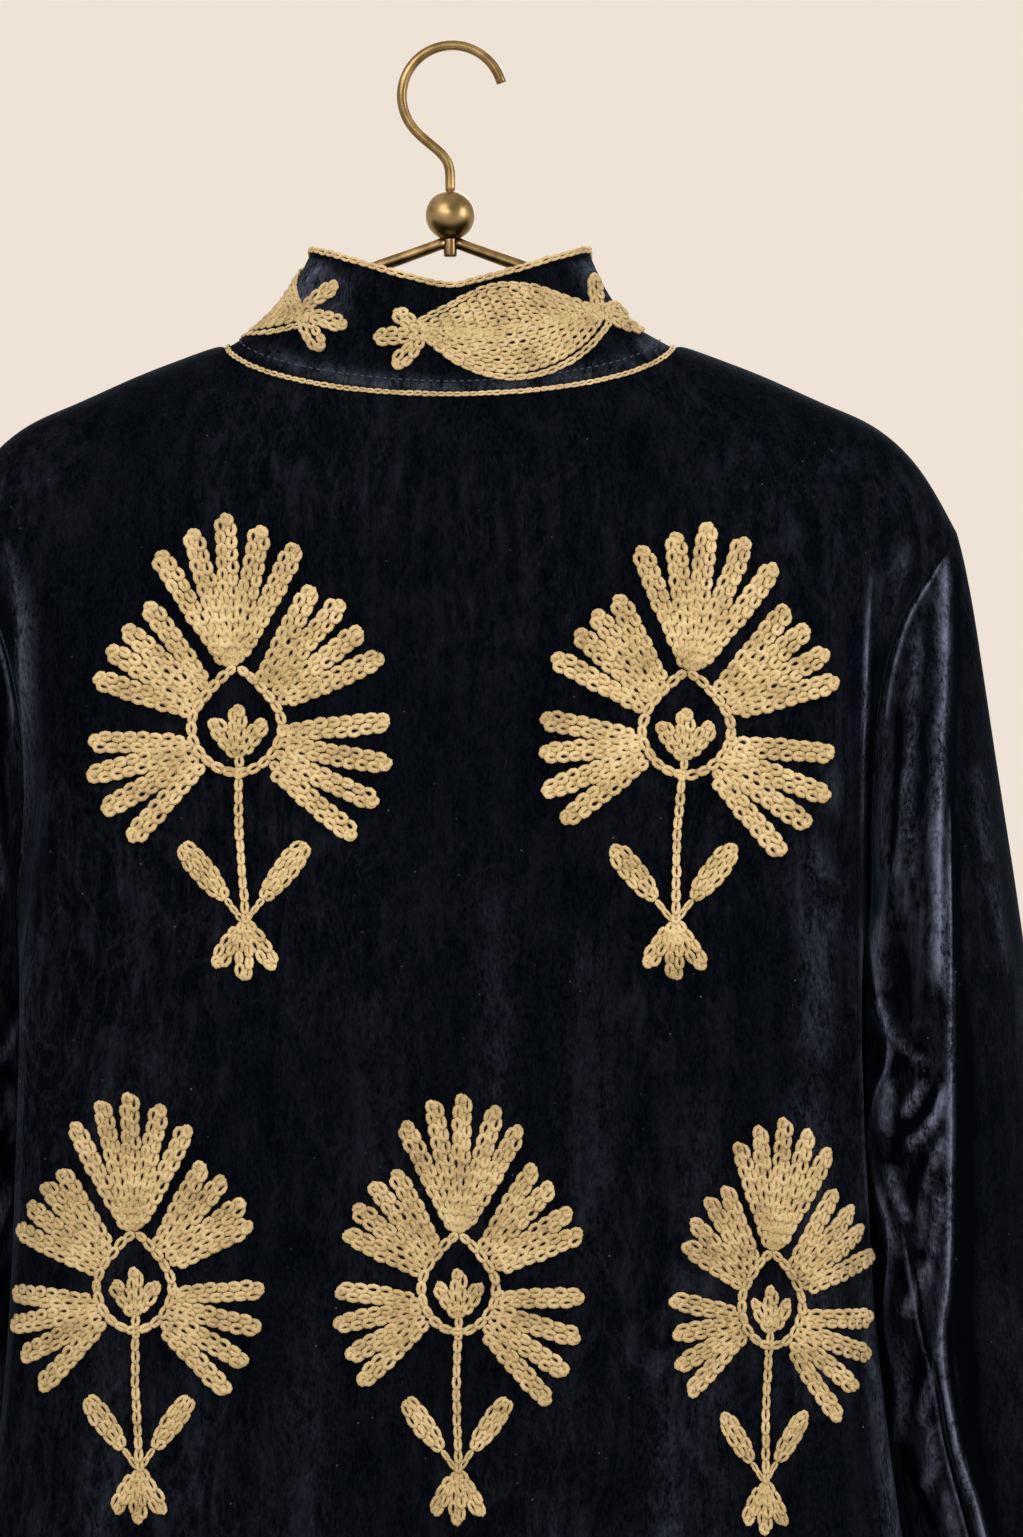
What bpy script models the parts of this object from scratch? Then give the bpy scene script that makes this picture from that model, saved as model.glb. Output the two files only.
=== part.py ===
"""A velvet jacket with a stand collar, hanging on a brass wire hanger.

The jacket hangs with its back towards -Y, and its open front towards +Y. The origin is the top of the
hook's inside, where a rail carries it. Every length is in metres.
"""

import math

import bpy
import numpy as np
from mathutils import Vector

# Cloth and seams
CLOTH = 0.002  # wall of the velvet with its backing
SEAM_GAP = 0.0003  # between two pieces sewn together

# Heights of the cut, measured down from the hook
UNDERARM = -0.430
HEM = -0.835
SHOULDER_TIP_X = 0.2335
SHOULDER_TIP_Z = -0.2230
FRONT_EDGE_X = 0.008  # half the gap between the two front edges at the neck
FRONT_EDGE_HEM_X = 0.016

# Neckline: an oval seen from behind, lower at the back than at its sides and much lower in front
NECK_HALF_WIDTH = 0.104
NECK_SIDE_Z = -0.135
NECK_DROP_BACK = 0.028
NECK_DROP_FRONT = 0.080

# The cloth turns over the hanger's arms in a soft ridge, which is fully open this far below it,
# and a little more tightly towards the sleeve's head
RIDGE = 0.115
RIDGE_AT_TIP = 0.085

# Armhole: half its opening from back to front
ARMHOLE_OPEN = 0.036

# Shoulder line: distance from the middle, height
SHOULDER = (
    (0.000, -0.0900),
    (0.052, -0.1120),
    (0.104, -0.1350),
    (0.1426, -0.1496),
    (0.1748, -0.1642),
    (0.1932, -0.1716),
    (0.2094, -0.1838),
    (0.2232, -0.2018),
    (0.2335, -0.2230),
)

# Sections of the body: height, half width at the wearer's left, half width at the right,
# depth of the back, depth of the front, squareness of the section
BODY = (
    (-0.090, 0.2335, 0.2335, 0.058, 0.050, 2.6),
    (-0.223, 0.2335, 0.2335, 0.060, 0.056, 3.0),
    (-0.242, 0.2215, 0.2208, 0.060, 0.057, 3.5),
    (-0.263, 0.2090, 0.2075, 0.060, 0.058, 4.2),
    (-0.287, 0.2020, 0.2010, 0.060, 0.058, 4.8),
    (-0.320, 0.1985, 0.1972, 0.060, 0.059, 5.0),
    (-0.345, 0.1970, 0.1952, 0.061, 0.060, 5.0),
    (-0.390, 0.2000, 0.1938, 0.062, 0.060, 5.0),
    (-0.430, 0.2030, 0.1940, 0.063, 0.061, 5.0),
    (-0.482, 0.2045, 0.1955, 0.065, 0.062, 4.8),
    (-0.573, 0.2080, 0.2010, 0.069, 0.066, 4.5),
    (-0.642, 0.2135, 0.2090, 0.072, 0.069, 4.2),
    (-0.681, 0.2185, 0.2145, 0.074, 0.071, 4.0),
    (-0.835, 0.2420, 0.2400, 0.082, 0.079, 3.8),
)

# How far the body's sides sink in between its back and its front, where the sleeves nest: height, depth
SIDE_RECESS = (
    (-0.395, 0.0000),
    (-0.430, 0.0070),
    (-0.470, 0.0130),
    (-0.560, 0.0148),
    (-0.835, 0.0140),
)

# Sleeve, from the shoulder down: height and distance of its outer edge
SLEEVE_OUTER = (
    (-0.2230, 0.2335),
    (-0.2394, 0.2380),
    (-0.2900, 0.2462),
    (-0.3361, 0.2531),
    (-0.3729, 0.2591),
    (-0.4051, 0.2637),
    (-0.4500, 0.2700),
    (-0.5200, 0.2780),
    (-0.6000, 0.2850),
    (-0.7000, 0.2950),
    (-0.8000, 0.3045),
)
SLEEVE_RIDGE = 0.22  # how far each ring leaves an oval for one with a ridge down its back and front
# Gap from the body's side to the sleeve's inner edge: height, gap
SLEEVE_GAP = (
    (-0.430, 0.0004),
    (-0.440, 0.0030),
    (-0.460, 0.0045),
    (-0.560, 0.0050),
    (-0.680, 0.0065),
    (-0.835, 0.0080),
)
# Rings of the sleeve: height of the outer edge, height of the inner edge, half depth, forward shift
SLEEVE_RINGS = (
    (-0.2230, -0.4300, 0.0360, 0.000),
    (-0.2330, -0.4312, 0.0400, 0.000),
    (-0.2520, -0.4335, 0.0460, 0.000),
    (-0.2800, -0.4370, 0.0520, 0.001),
    (-0.3120, -0.4420, 0.0565, 0.001),
    (-0.3450, -0.4485, 0.0600, 0.002),
    (-0.3800, -0.4570, 0.0625, 0.002),
    (-0.4150, -0.4690, 0.0640, 0.003),
    (-0.4480, -0.4840, 0.0650, 0.004),
    (-0.4790, -0.5020, 0.0650, 0.005),
    (-0.5080, -0.5230, 0.0645, 0.006),
    (-0.5360, -0.5460, 0.0640, 0.007),
    (-0.5640, -0.5700, 0.0630, 0.008),
    (-0.5920, -0.5950, 0.0620, 0.010),
    (-0.6200, -0.6210, 0.0610, 0.012),
    (-0.6480, -0.6480, 0.0600, 0.014),
    (-0.6770, -0.6760, 0.0590, 0.016),
    (-0.7070, -0.7050, 0.0580, 0.018),
    (-0.7380, -0.7350, 0.0570, 0.020),
    (-0.7690, -0.7650, 0.0560, 0.022),
    (-0.8000, -0.7950, 0.0550, 0.024),
)

# Folds down the cloth: middle as a share of the panel's width (negative towards the wearer's left),
# width as a share, depth outwards, height where it starts, height where it is whole
BACK_FOLDS = (
    (-0.86, 0.075, -0.0045, -0.240, -0.300),
    (0.86, 0.075, -0.0050, -0.235, -0.290),
    (-0.52, 0.110, 0.0050, -0.520, -0.835),
    (-0.22, 0.100, -0.0045, -0.560, -0.835),
    (0.07, 0.110, 0.0050, -0.540, -0.835),
    (0.36, 0.100, -0.0050, -0.560, -0.835),
    (0.62, 0.110, 0.0060, -0.500, -0.835),
)
FRONT_FOLDS = (
    (0.14, 0.100, 0.0040, -0.420, -0.835),
    (0.34, 0.110, -0.0070, -0.340, -0.835),
    (0.55, 0.110, 0.0070, -0.330, -0.835),
    (0.84, 0.080, -0.0045, -0.240, -0.300),
)

# Collar: the top edge dips at the back of the neck and stands highest at its two sides
COLLAR_TOP_HALF_WIDTH = 0.064
COLLAR_TOP_BACK_Z = -0.1115
COLLAR_TOP_SIDE_Z = -0.0915
COLLAR_TOP_FRONT_Z = -0.1660
COLLAR_TOP_BACK_Y = -0.037
COLLAR_TOP_FRONT_Y = 0.041
COLLAR_LEAN = 0.55  # how far the collar follows the shoulder before it stands up

# Hanger
HOOK_WIRE = 0.0023  # radius
HOOK_BEND = 0.0234  # radius of the hook's middle line
BALL = 0.0109
BALL_Z = -0.0761
STUB = 0.0030
STUB_END_Z = -0.0951
ARM = 0.0027
ARM_START = (0.0044, -0.0887)
ARM_UNDER_COLLAR = ((0.0301, -0.0967), (0.0450, -0.1045), (0.0620, -0.1178), (0.0800, -0.1316), (0.0950, -0.1388))
ARM_END_X = 0.197
ARM_BELOW_RIDGE = 0.0058  # from the ridge to the wire's middle, square to the slope

# Mesh sizes
NECK_COLUMNS = 8
SHOULDER_COLUMNS = 9
ARMHOLE_ROWS = 14
LOWER_ROWS = 13
COLLAR_ROWS = 4

VELVET = (0.012, 0.016, 0.035)
GOLD_THREAD = (0.60, 0.45, 0.22)
BRASS = (0.42, 0.29, 0.12)


def smooth(table, column, at):
    """The column of a table at a value of its first column, on a smooth curve through its rows."""
    rows = sorted((row[0], row[column]) for row in table)
    x = np.array([row[0] for row in rows])
    y = np.array([row[1] for row in rows])
    at = min(max(at, x[0]), x[-1])
    i = int(min(max(np.searchsorted(x, at) - 1, 0), len(x) - 2))
    slopes = np.diff(y) / np.diff(x)

    def tangent(k):
        """Zero at a peak, else the harmonic mean of the slopes beside it, so that nothing overshoots."""
        if k == 0 or k == len(x) - 1:
            return slopes[min(k, len(slopes) - 1)]
        before, after = slopes[k - 1], slopes[k]
        return 0.0 if before * after <= 0 else 2 * before * after / (before + after)

    step = x[i + 1] - x[i]
    t = (at - x[i]) / step
    start = (2 * t**3 - 3 * t**2 + 1) * y[i] + (t**3 - 2 * t**2 + t) * step * tangent(i)
    end = (3 * t**2 - 2 * t**3) * y[i + 1] + (t**3 - t**2) * step * tangent(i + 1)
    return float(start + end)


def rise(value, start, end):
    """0 before start and 1 after end, eased between them."""
    t = min(max((value - start) / (end - start), 0.0), 1.0)
    return t * t * (3 - 2 * t)


def even_corner_table():
    """Shares of a square-cornered section's width, evenly spaced along its edge from the middle to the side."""
    width, depth, power = 0.2, 0.06, 5.0
    angle = np.linspace(0, math.pi / 2, 4001)
    x = np.sin(angle) ** (2 / power)
    y = np.cos(angle) ** (2 / power)
    run = np.concatenate([[0], np.cumsum(np.hypot(np.diff(x) * width, np.diff(y) * depth))])
    return run / run[-1], x


CORNER_RUN, CORNER_X = even_corner_table()


def shoulder_z(x):
    return smooth(SHOULDER, 1, abs(x))


def neck_z(x, front):
    drop = NECK_DROP_FRONT if front else NECK_DROP_BACK
    share = min(abs(x) / NECK_HALF_WIDTH, 1.0)
    return NECK_SIDE_Z - drop * math.sqrt(1 - share * share)


def half_width(side, z):
    return smooth(BODY, 1 if side < 0 else 2, z)


def recess(z):
    return smooth(SIDE_RECESS, 1, z)


def armhole_open(z):
    """Half the armhole's opening from back to front at a height."""
    middle = (SHOULDER_TIP_Z + UNDERARM) / 2
    half = (SHOULDER_TIP_Z - UNDERARM) / 2
    share = (z - middle) / half
    return ARMHOLE_OPEN * math.sqrt(max(0.0, 1 - share * share))


def body_point(u, z, front):
    """A point of the body's outer surface. u runs from 0 in the middle to 1 or -1 at the armhole and side seam."""
    side = -1 if u < 0 else 1
    width = half_width(side, z)
    depth = smooth(BODY, 4 if front else 3, z)
    power = smooth(BODY, 5, z)
    reach = (1 - (armhole_open(z) / depth) ** power) ** (1 / power)
    squared = rise(-z, -SHOULDER_TIP_Z, 0.33)
    across = (1 - squared) * abs(u) + squared * float(np.interp(abs(u), CORNER_RUN, CORNER_X))
    share = min(across * reach, 1.0)
    x = side * share * width
    below = max(shoulder_z(x) - z, 0.0)
    turn = RIDGE + (RIDGE_AT_TIP - RIDGE) * rise(abs(x), 0.150, SHOULDER_TIP_X)
    ridge = math.sqrt(1 - (1 - min(below / turn, 1.0)) ** 2)
    ridge += (1 - ridge) * rise(abs(u), 0.93, 1.0)
    out = depth * max(1 - share**power, 0.0) ** (1 / power) * ridge
    x -= side * recess(z) * rise(abs(u), 0.82 if front else 0.87, 0.97)
    return Vector((x, out if front else -out, z))


def folded(u, z, front):
    """The body's surface with its folds, which swell outwards or sink in across the panel."""
    point = body_point(u, z, front)
    folds = FRONT_FOLDS if front else BACK_FOLDS
    across = abs(u) if front else u
    for middle, width, depth, start, whole in folds:
        swell = math.exp(-(((across - middle) / width) ** 2)) * rise(-z, -start, -whole)
        fade = 1 - rise(abs(u), 0.93, 1.0)
        point += body_normal(u, z, front) * depth * swell * fade
    return point


def body_normal(u, z, front):
    """The outward direction at a point of the plain body."""
    du, dz = 1e-3, 1e-4
    low, high = (u - du, u) if abs(u) > 0.5 and u > 0 else (u, u + du)
    across = body_point(high, z, front) - body_point(low, z, front)
    down = body_point(u, z - dz, front) - body_point(u, z, front)
    normal = across.cross(down) if front else down.cross(across)
    return normal.normalized()


def columns(front):
    """Positions across half a panel, denser round the neck, with one on the neck's corner."""
    neck = NECK_HALF_WIDTH / SHOULDER_TIP_X
    first = FRONT_EDGE_X / NECK_HALF_WIDTH if front else 0.0
    angles = np.linspace(math.asin(first), math.pi / 2, NECK_COLUMNS + 1)
    inner = [neck * math.sin(angle) for angle in angles]
    outer = list(np.linspace(neck, 1.0, SHOULDER_COLUMNS + 1))[1:]
    return inner + outer


def heights(u, front):
    """Heights down a column, from the neck or shoulder seam past the underarm to the hem."""
    x = abs(u) * SHOULDER_TIP_X
    top = neck_z(x, front) if x < NECK_HALF_WIDTH else shoulder_z(x)
    upper = [top + (UNDERARM - top) * (1 - math.cos(math.pi * k / ARMHOLE_ROWS)) / 2 for k in range(ARMHOLE_ROWS + 1)]
    lower = [UNDERARM + (HEM - UNDERARM) * k / LOWER_ROWS for k in range(1, LOWER_ROWS + 1)]
    return upper + lower


def build(name, rows, inner_rows, closed, material):
    """A cloth wall from rows of outer points and the inner points under them. closed joins each row's ends."""
    rows_n, row_n = len(rows), len(rows[0])
    points = [p for row in rows for p in row] + [p for row in inner_rows for p in row]
    inner = rows_n * row_n
    faces = []
    for i in range(rows_n - 1):
        for j in range(row_n if closed else row_n - 1):
            k = (j + 1) % row_n
            a, b, c, d = i * row_n + j, i * row_n + k, (i + 1) * row_n + k, (i + 1) * row_n + j
            faces.append((a, d, c, b))
            faces.append((inner + a, inner + b, inner + c, inner + d))
    for j in range(row_n if closed else row_n - 1):
        k = (j + 1) % row_n
        last = (rows_n - 1) * row_n
        faces.append((j, k, inner + k, inner + j))
        faces.append((last + k, last + j, inner + last + j, inner + last + k))
    if not closed:
        for i in range(rows_n - 1):
            a, b = i * row_n, (i + 1) * row_n
            faces.append((b, a, inner + a, inner + b))
            a, b = a + row_n - 1, b + row_n - 1
            faces.append((a, b, inner + b, inner + a))
    mesh = bpy.data.meshes.new(name)
    mesh.from_pydata([tuple(p) for p in points], [], faces)
    mesh.update()
    return add_object(name, mesh, material)


def add_object(name, data, material):
    data.materials.append(material)
    obj = bpy.data.objects.new(name, data)
    jacket.objects.link(obj)
    return obj


def finish(name, colour, roughness, metallic=0.0):
    material = bpy.data.materials.new(name)
    material.use_nodes = True
    shader = material.node_tree.nodes["Principled BSDF"]
    shader.inputs["Base Color"].default_value = (*colour, 1.0)
    shader.inputs["Roughness"].default_value = roughness
    shader.inputs["Metallic"].default_value = metallic
    material.diffuse_color = (*colour, 1.0)
    return material


def panel_grid(us, front):
    """Rows of outer and inner points over these columns, kept half a seam clear at shoulder and side."""
    clear = SEAM_GAP / 2 * (1 if front else -1)
    tall = [heights(u, front) for u in us]
    outer, inner = [], []
    for k in range(ARMHOLE_ROWS + LOWER_ROWS + 1):
        row, under = [], []
        for u, zs in zip(us, tall):
            z = zs[k]
            point = folded(u, z, front)
            if front:
                drift = (FRONT_EDGE_HEM_X - FRONT_EDGE_X) * rise(-z, 0.3, -HEM) * (1 - abs(u))
                point.x += math.copysign(drift, u)
            depth = body_normal(u, min(z, zs[0] - 1e-5), front) * CLOTH
            point.y += clear
            below = point - depth
            below.y = max(below.y, clear) if front else min(below.y, clear)
            row.append(point)
            under.append(below)
        outer.append(row)
        inner.append(under)
    return outer, inner


def make_back():
    half = columns(front=False)
    us = [-u for u in reversed(half[1:])] + half
    outer, inner = panel_grid(us, front=False)
    build("back", outer, inner, False, velvet)


def make_front(name, side):
    us = [side * u for u in columns(front=True)]
    if side > 0:
        us.reverse()
    outer, inner = panel_grid(us, front=True)
    build(name, outer, inner, False, velvet)


def armhole_loop(side):
    """The armhole from the shoulder tip down its back to the underarm and up its front, as the panels have it."""
    zs = heights(1.0, False)[: ARMHOLE_ROWS + 1]
    back = [body_point(side, z, False) for z in zs]
    front = [body_point(side, z, True) for z in reversed(zs[1:-1])]
    return back + front


def sleeve_ring(side, ring, count):
    """An oval from the ring's outer edge, round its back, to its inner edge and round its front."""
    outer_z, inner_z, half_depth, forward = ring
    shift = half_width(side, min(inner_z, -0.43)) - half_width(1, min(inner_z, -0.43))
    outer = Vector((smooth(SLEEVE_OUTER, 1, outer_z) + shift * rise(-outer_z, 0.223, 0.5), forward, outer_z))
    inner_x = half_width(side, inner_z) - recess(inner_z) + smooth(SLEEVE_GAP, 1, inner_z)
    inner = Vector((inner_x, forward, inner_z))
    middle, along = (outer + inner) / 2, (outer - inner) / 2
    power = 1 + SLEEVE_RIDGE * rise(-outer_z, 0.230, 0.330)
    points = []
    for k in range(count):
        angle = 2 * math.pi * k / count
        across = math.copysign(abs(math.cos(angle)) ** power, math.cos(angle))
        deep = math.copysign(abs(math.sin(angle)) ** power, math.sin(angle))
        point = middle + along * across - Vector((0, half_depth * deep, 0))
        points.append(Vector((side * point.x, point.y, point.z)))
    return points


def make_sleeve(name, side):
    armhole = armhole_loop(side)
    count = len(armhole)
    first = sleeve_ring(side, SLEEVE_RINGS[0], count)
    off_oval = [a - b for a, b in zip(armhole, first)]
    rings = []
    for i, ring in enumerate(SLEEVE_RINGS):
        keep = (1 - rise(i, 0, 6)) if i else 1.0
        points = sleeve_ring(side, ring, count)
        rings.append([p + d * keep for p, d in zip(points, off_oval)])
    away = Vector((side * SEAM_GAP, 0, 0))
    rings[0] = [p + away for p in rings[0]]
    centre = sum(rings[0], Vector()) / count
    under = [[p + (centre - p).normalized() * CLOTH for p in rings[0]]]
    for i in range(1, len(rings)):
        before, after = rings[i - 1], rings[min(i + 1, len(rings) - 1)]
        row = []
        for j, point in enumerate(rings[i]):
            round_it = rings[i][(j + 1) % count] - rings[i][j - 1]
            down = after[j] - before[j]
            row.append(point - side * round_it.cross(down).normalized() * CLOTH)
        under.append(row)
    if side > 0:
        rings = [list(reversed(row)) for row in rings]
        under = [list(reversed(row)) for row in under]
    build(name, rings, under, True, velvet)


def neckline(angle, front):
    """A point of the neckline; angle is 0 in the middle and a quarter turn at the shoulder."""
    x = NECK_HALF_WIDTH * math.sin(angle)
    return body_point(x / SHOULDER_TIP_X, neck_z(x, front), front)


def collar_base(angle, front):
    """The collar's seam point, a gap off the panel, with the directions up the collar and out of it."""
    step = 1e-3 if angle < 0 else -1e-3
    x = NECK_HALF_WIDTH * math.sin(angle)
    normal = body_normal(x / SHOULDER_TIP_X, neck_z(x, front) - 1e-5, front)
    along = neckline(angle + step, front) - neckline(angle, front)
    up = normal.cross(along).normalized()
    if up.z < 0:
        up = -up
    if abs(math.cos(angle)) < 1e-6:
        up = Vector((up.x, 0, up.z)).normalized()
        normal = Vector((normal.x, 0, normal.z)).normalized()
    return neckline(angle, front) + up * SEAM_GAP, up, normal


def collar_top(angle, front):
    across = math.sin(angle)
    x = COLLAR_TOP_HALF_WIDTH * across
    y = (COLLAR_TOP_FRONT_Y if front else COLLAR_TOP_BACK_Y) * abs(math.cos(angle)) ** 0.8
    if front:
        z = COLLAR_TOP_FRONT_Z + (COLLAR_TOP_SIDE_Z - COLLAR_TOP_FRONT_Z) * (1 - abs(math.cos(angle)) ** 1.3)
    else:
        z = COLLAR_TOP_BACK_Z + (COLLAR_TOP_SIDE_Z - COLLAR_TOP_BACK_Z) * abs(across) ** 1.15
    return Vector((x, y, z))


def collar_stations():
    """(angle round the neck, on the front) from the wearer's left front edge round the back to the right one."""
    first = math.asin(FRONT_EDGE_X / NECK_HALF_WIDTH)
    front = [(a, True) for a in np.linspace(first, math.pi / 2, NECK_COLUMNS + 1)[:-1]]
    back = [(a, False) for a in np.linspace(math.pi / 2, -math.pi / 2, 2 * NECK_COLUMNS + 1)]
    return [(-a, f) for a, f in front] + [(-a, f) for a, f in back] + [(a, f) for a, f in reversed(front)]


def collar_curve(angle, front, t):
    """A point t of the way up the collar: it follows the panel below it, then turns up to the top edge."""
    base, up, normal = collar_base(angle, front)
    top = collar_top(angle, front)
    turn = base + up * (top - base).length * COLLAR_LEAN
    return base * (1 - t) ** 2 + turn * (2 * t * (1 - t)) + top * t * t, normal


def make_collar():
    stations = collar_stations()
    rows = [[collar_curve(a, f, k / COLLAR_ROWS)[0] for a, f in stations] for k in range(COLLAR_ROWS + 1)]
    rows.reverse()
    under = []
    for i, row in enumerate(rows):
        above, below = rows[max(i - 1, 0)], rows[min(i + 1, len(rows) - 1)]
        inner = []
        for j, point in enumerate(row):
            along = row[min(j + 1, len(row) - 1)] - row[max(j - 1, 0)]
            normal = (below[j] - above[j]).cross(along).normalized()
            if i == len(rows) - 1:
                normal = collar_curve(*stations[j], 0)[1]
            inner.append(point - normal * CLOTH)
        under.append(inner)
    build("collar", rows, under, False, velvet)
    return stations


def wire(name, points, radius, sides_step, material):
    """A round wire with closed ends through these points."""
    curve = bpy.data.curves.new(name, "CURVE")
    curve.dimensions = "3D"
    curve.bevel_depth = radius
    curve.bevel_resolution = sides_step
    curve.use_fill_caps = True
    spline = curve.splines.new("POLY")
    spline.points.add(len(points) - 1)
    for spot, point in zip(spline.points, points):
        spot.co = (*point, 1.0)
    spline.use_smooth = True
    return add_object(name, curve, material)


def make_hook():
    """The wire stands on the ball, bends aside and turns over in three quarters of a circle."""
    centre = Vector((0.001, 0, HOOK_WIRE - HOOK_BEND))
    points = []
    for degrees in range(15, 226, 10):
        angle = math.radians(degrees)
        points.append(centre + Vector((math.cos(angle), 0, math.sin(angle))) * HOOK_BEND)
    leave = points[-1]
    heading = Vector((math.sin(math.radians(45)), 0, -math.cos(math.radians(45))))
    foot = Vector((0, 0, BALL_Z + BALL + SEAM_GAP))
    rise_start = foot + Vector((0, 0, 0.007))
    pull_out, pull_up = leave + heading * 0.012, rise_start + Vector((0, 0, 0.010))
    for k in range(1, 11):
        t = k / 10
        points.append(
            leave * (1 - t) ** 3
            + pull_out * 3 * t * (1 - t) ** 2
            + pull_up * 3 * t * t * (1 - t)
            + rise_start * t**3
        )
    points.append(foot)
    wire("hanger_hook", points, HOOK_WIRE, 2, brass)


def make_ball():
    bpy.ops.mesh.primitive_uv_sphere_add(segments=20, ring_count=12, radius=BALL, location=(0, 0, BALL_Z))
    take("hanger_ball")
    top = BALL_Z - BALL - SEAM_GAP
    bpy.ops.mesh.primitive_cylinder_add(
        vertices=14, radius=STUB, depth=top - STUB_END_Z, location=(0, 0, (top + STUB_END_Z) / 2)
    )
    stub = take("hanger_stub")
    bevel = stub.modifiers.new("rounded end", "BEVEL")
    bevel.width = 0.0006
    bevel.segments = 2


def take(name):
    """The primitive that was just added, named, finished in brass and put in the jacket's collection."""
    obj = bpy.context.object
    obj.name = name
    obj.data.name = name
    obj.data.materials.append(brass)
    obj.data.shade_smooth()
    for other in obj.users_collection:
        other.objects.unlink(obj)
    jacket.objects.link(obj)
    return obj


def make_arm(name, side):
    """One arm leaves the ball at a shallow slope, dips under the collar and follows the shoulder's ridge."""
    rest = []
    for x in np.linspace(0.112, ARM_END_X, 8):
        slope = (shoulder_z(x - 0.002) - shoulder_z(x + 0.002)) / 0.004
        rest.append((x, shoulder_z(x) - ARM_BELOW_RIDGE * math.hypot(1, slope)))
    table = [ARM_START, *ARM_UNDER_COLLAR, *rest]
    xs = np.linspace(ARM_START[0], ARM_END_X, 20)
    points = [Vector((side * x, 0, smooth(table, 1, x))) for x in xs]
    wire(name, points, ARM, 2, brass)


def clear_scene():
    for obj in list(bpy.data.objects):
        bpy.data.objects.remove(obj, do_unlink=True)


clear_scene()
jacket = bpy.data.collections.new("jacket")
bpy.context.scene.collection.children.link(jacket)
velvet = finish("velvet", VELVET, 0.7)
gold_thread = finish("gold thread", GOLD_THREAD, 0.6)
brass = finish("brass", BRASS, 0.35, 1.0)

make_back()
make_front("front_left", -1)
make_front("front_right", 1)
make_sleeve("sleeve_left", -1)
make_sleeve("sleeve_right", 1)
make_collar()
make_hook()
make_ball()
make_arm("hanger_arm_left", -1)
make_arm("hanger_arm_right", 1)
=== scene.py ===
"""A navy velvet jacket with a stand collar and gold chain-stitch flowers, seen from behind on a brass wire hanger."""

import math
import random

import bmesh
import bpy
import numpy as np
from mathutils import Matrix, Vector
from mathutils.bvhtree import BVHTree


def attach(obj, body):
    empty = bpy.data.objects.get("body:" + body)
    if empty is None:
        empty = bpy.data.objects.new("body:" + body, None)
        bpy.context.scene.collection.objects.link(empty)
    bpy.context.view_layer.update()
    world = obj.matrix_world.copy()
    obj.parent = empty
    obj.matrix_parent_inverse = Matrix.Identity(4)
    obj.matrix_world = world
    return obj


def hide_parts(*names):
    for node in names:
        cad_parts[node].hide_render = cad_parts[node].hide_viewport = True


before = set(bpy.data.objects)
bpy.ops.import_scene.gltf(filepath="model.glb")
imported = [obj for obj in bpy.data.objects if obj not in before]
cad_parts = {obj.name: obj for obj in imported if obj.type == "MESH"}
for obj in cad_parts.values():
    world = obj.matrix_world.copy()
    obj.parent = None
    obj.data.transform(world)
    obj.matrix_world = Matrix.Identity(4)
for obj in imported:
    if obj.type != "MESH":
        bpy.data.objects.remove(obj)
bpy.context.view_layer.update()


# The camera stands level behind the jacket, far enough away that the shoulders look nearly flat.
# The picture's lower edge crosses the skirt of the jacket, and its left edge the left armhole.
camera = bpy.data.objects.new("camera", bpy.data.cameras.new("camera"))
bpy.context.scene.collection.objects.link(camera)
FRAME_HEIGHT, FRAME_AWAY = 0.69165, 2.600  # what the picture takes in from top to bottom, at this distance
camera.location = (0.0282, -2.660, -0.3308)
camera.rotation_euler = (math.radians(90), 0, 0)
camera.data.sensor_width = 36
camera.data.lens = camera.data.sensor_width * FRAME_AWAY / FRAME_HEIGHT
camera.data.clip_end = 50
bpy.context.scene.camera = camera


# The velvet is a short dense pile on a soft woven back. It is nearly black face on, and shows a
# blue-grey sheen wherever it turns away or where the nap has been pressed the other way. Here much of
# that sheen, the highlights on fold edges and the shade in deep folds are painted into its colour.
class Wave:
    """A node's output, so that shader maths reads as ordinary sums."""

    def __init__(self, tree, socket):
        self.tree, self.socket = tree, socket

    def maths(self, kind, *others, clamp=False):
        node = self.tree.nodes.new("ShaderNodeMath")
        node.operation, node.use_clamp = kind, clamp
        for place, value in zip(node.inputs, (self, *others)):
            if isinstance(value, Wave):
                self.tree.links.new(value.socket, place)
            else:
                place.default_value = value
        return Wave(self.tree, node.outputs[0])

    def __add__(self, other):
        return self.maths("ADD", other)

    def __mul__(self, other):
        return self.maths("MULTIPLY", other)

    def __sub__(self, other):
        return self.maths("SUBTRACT", other)

    def __rsub__(self, other):
        return (self * -1.0).maths("ADD", other)

    __radd__ = __add__
    __rmul__ = __mul__

    def kept(self, scale=1.0):
        """Multiplied by a number and kept between 0 and 1."""
        return self.maths("MULTIPLY", scale, clamp=True)

    def size(self):
        return self.maths("ABSOLUTE")


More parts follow.
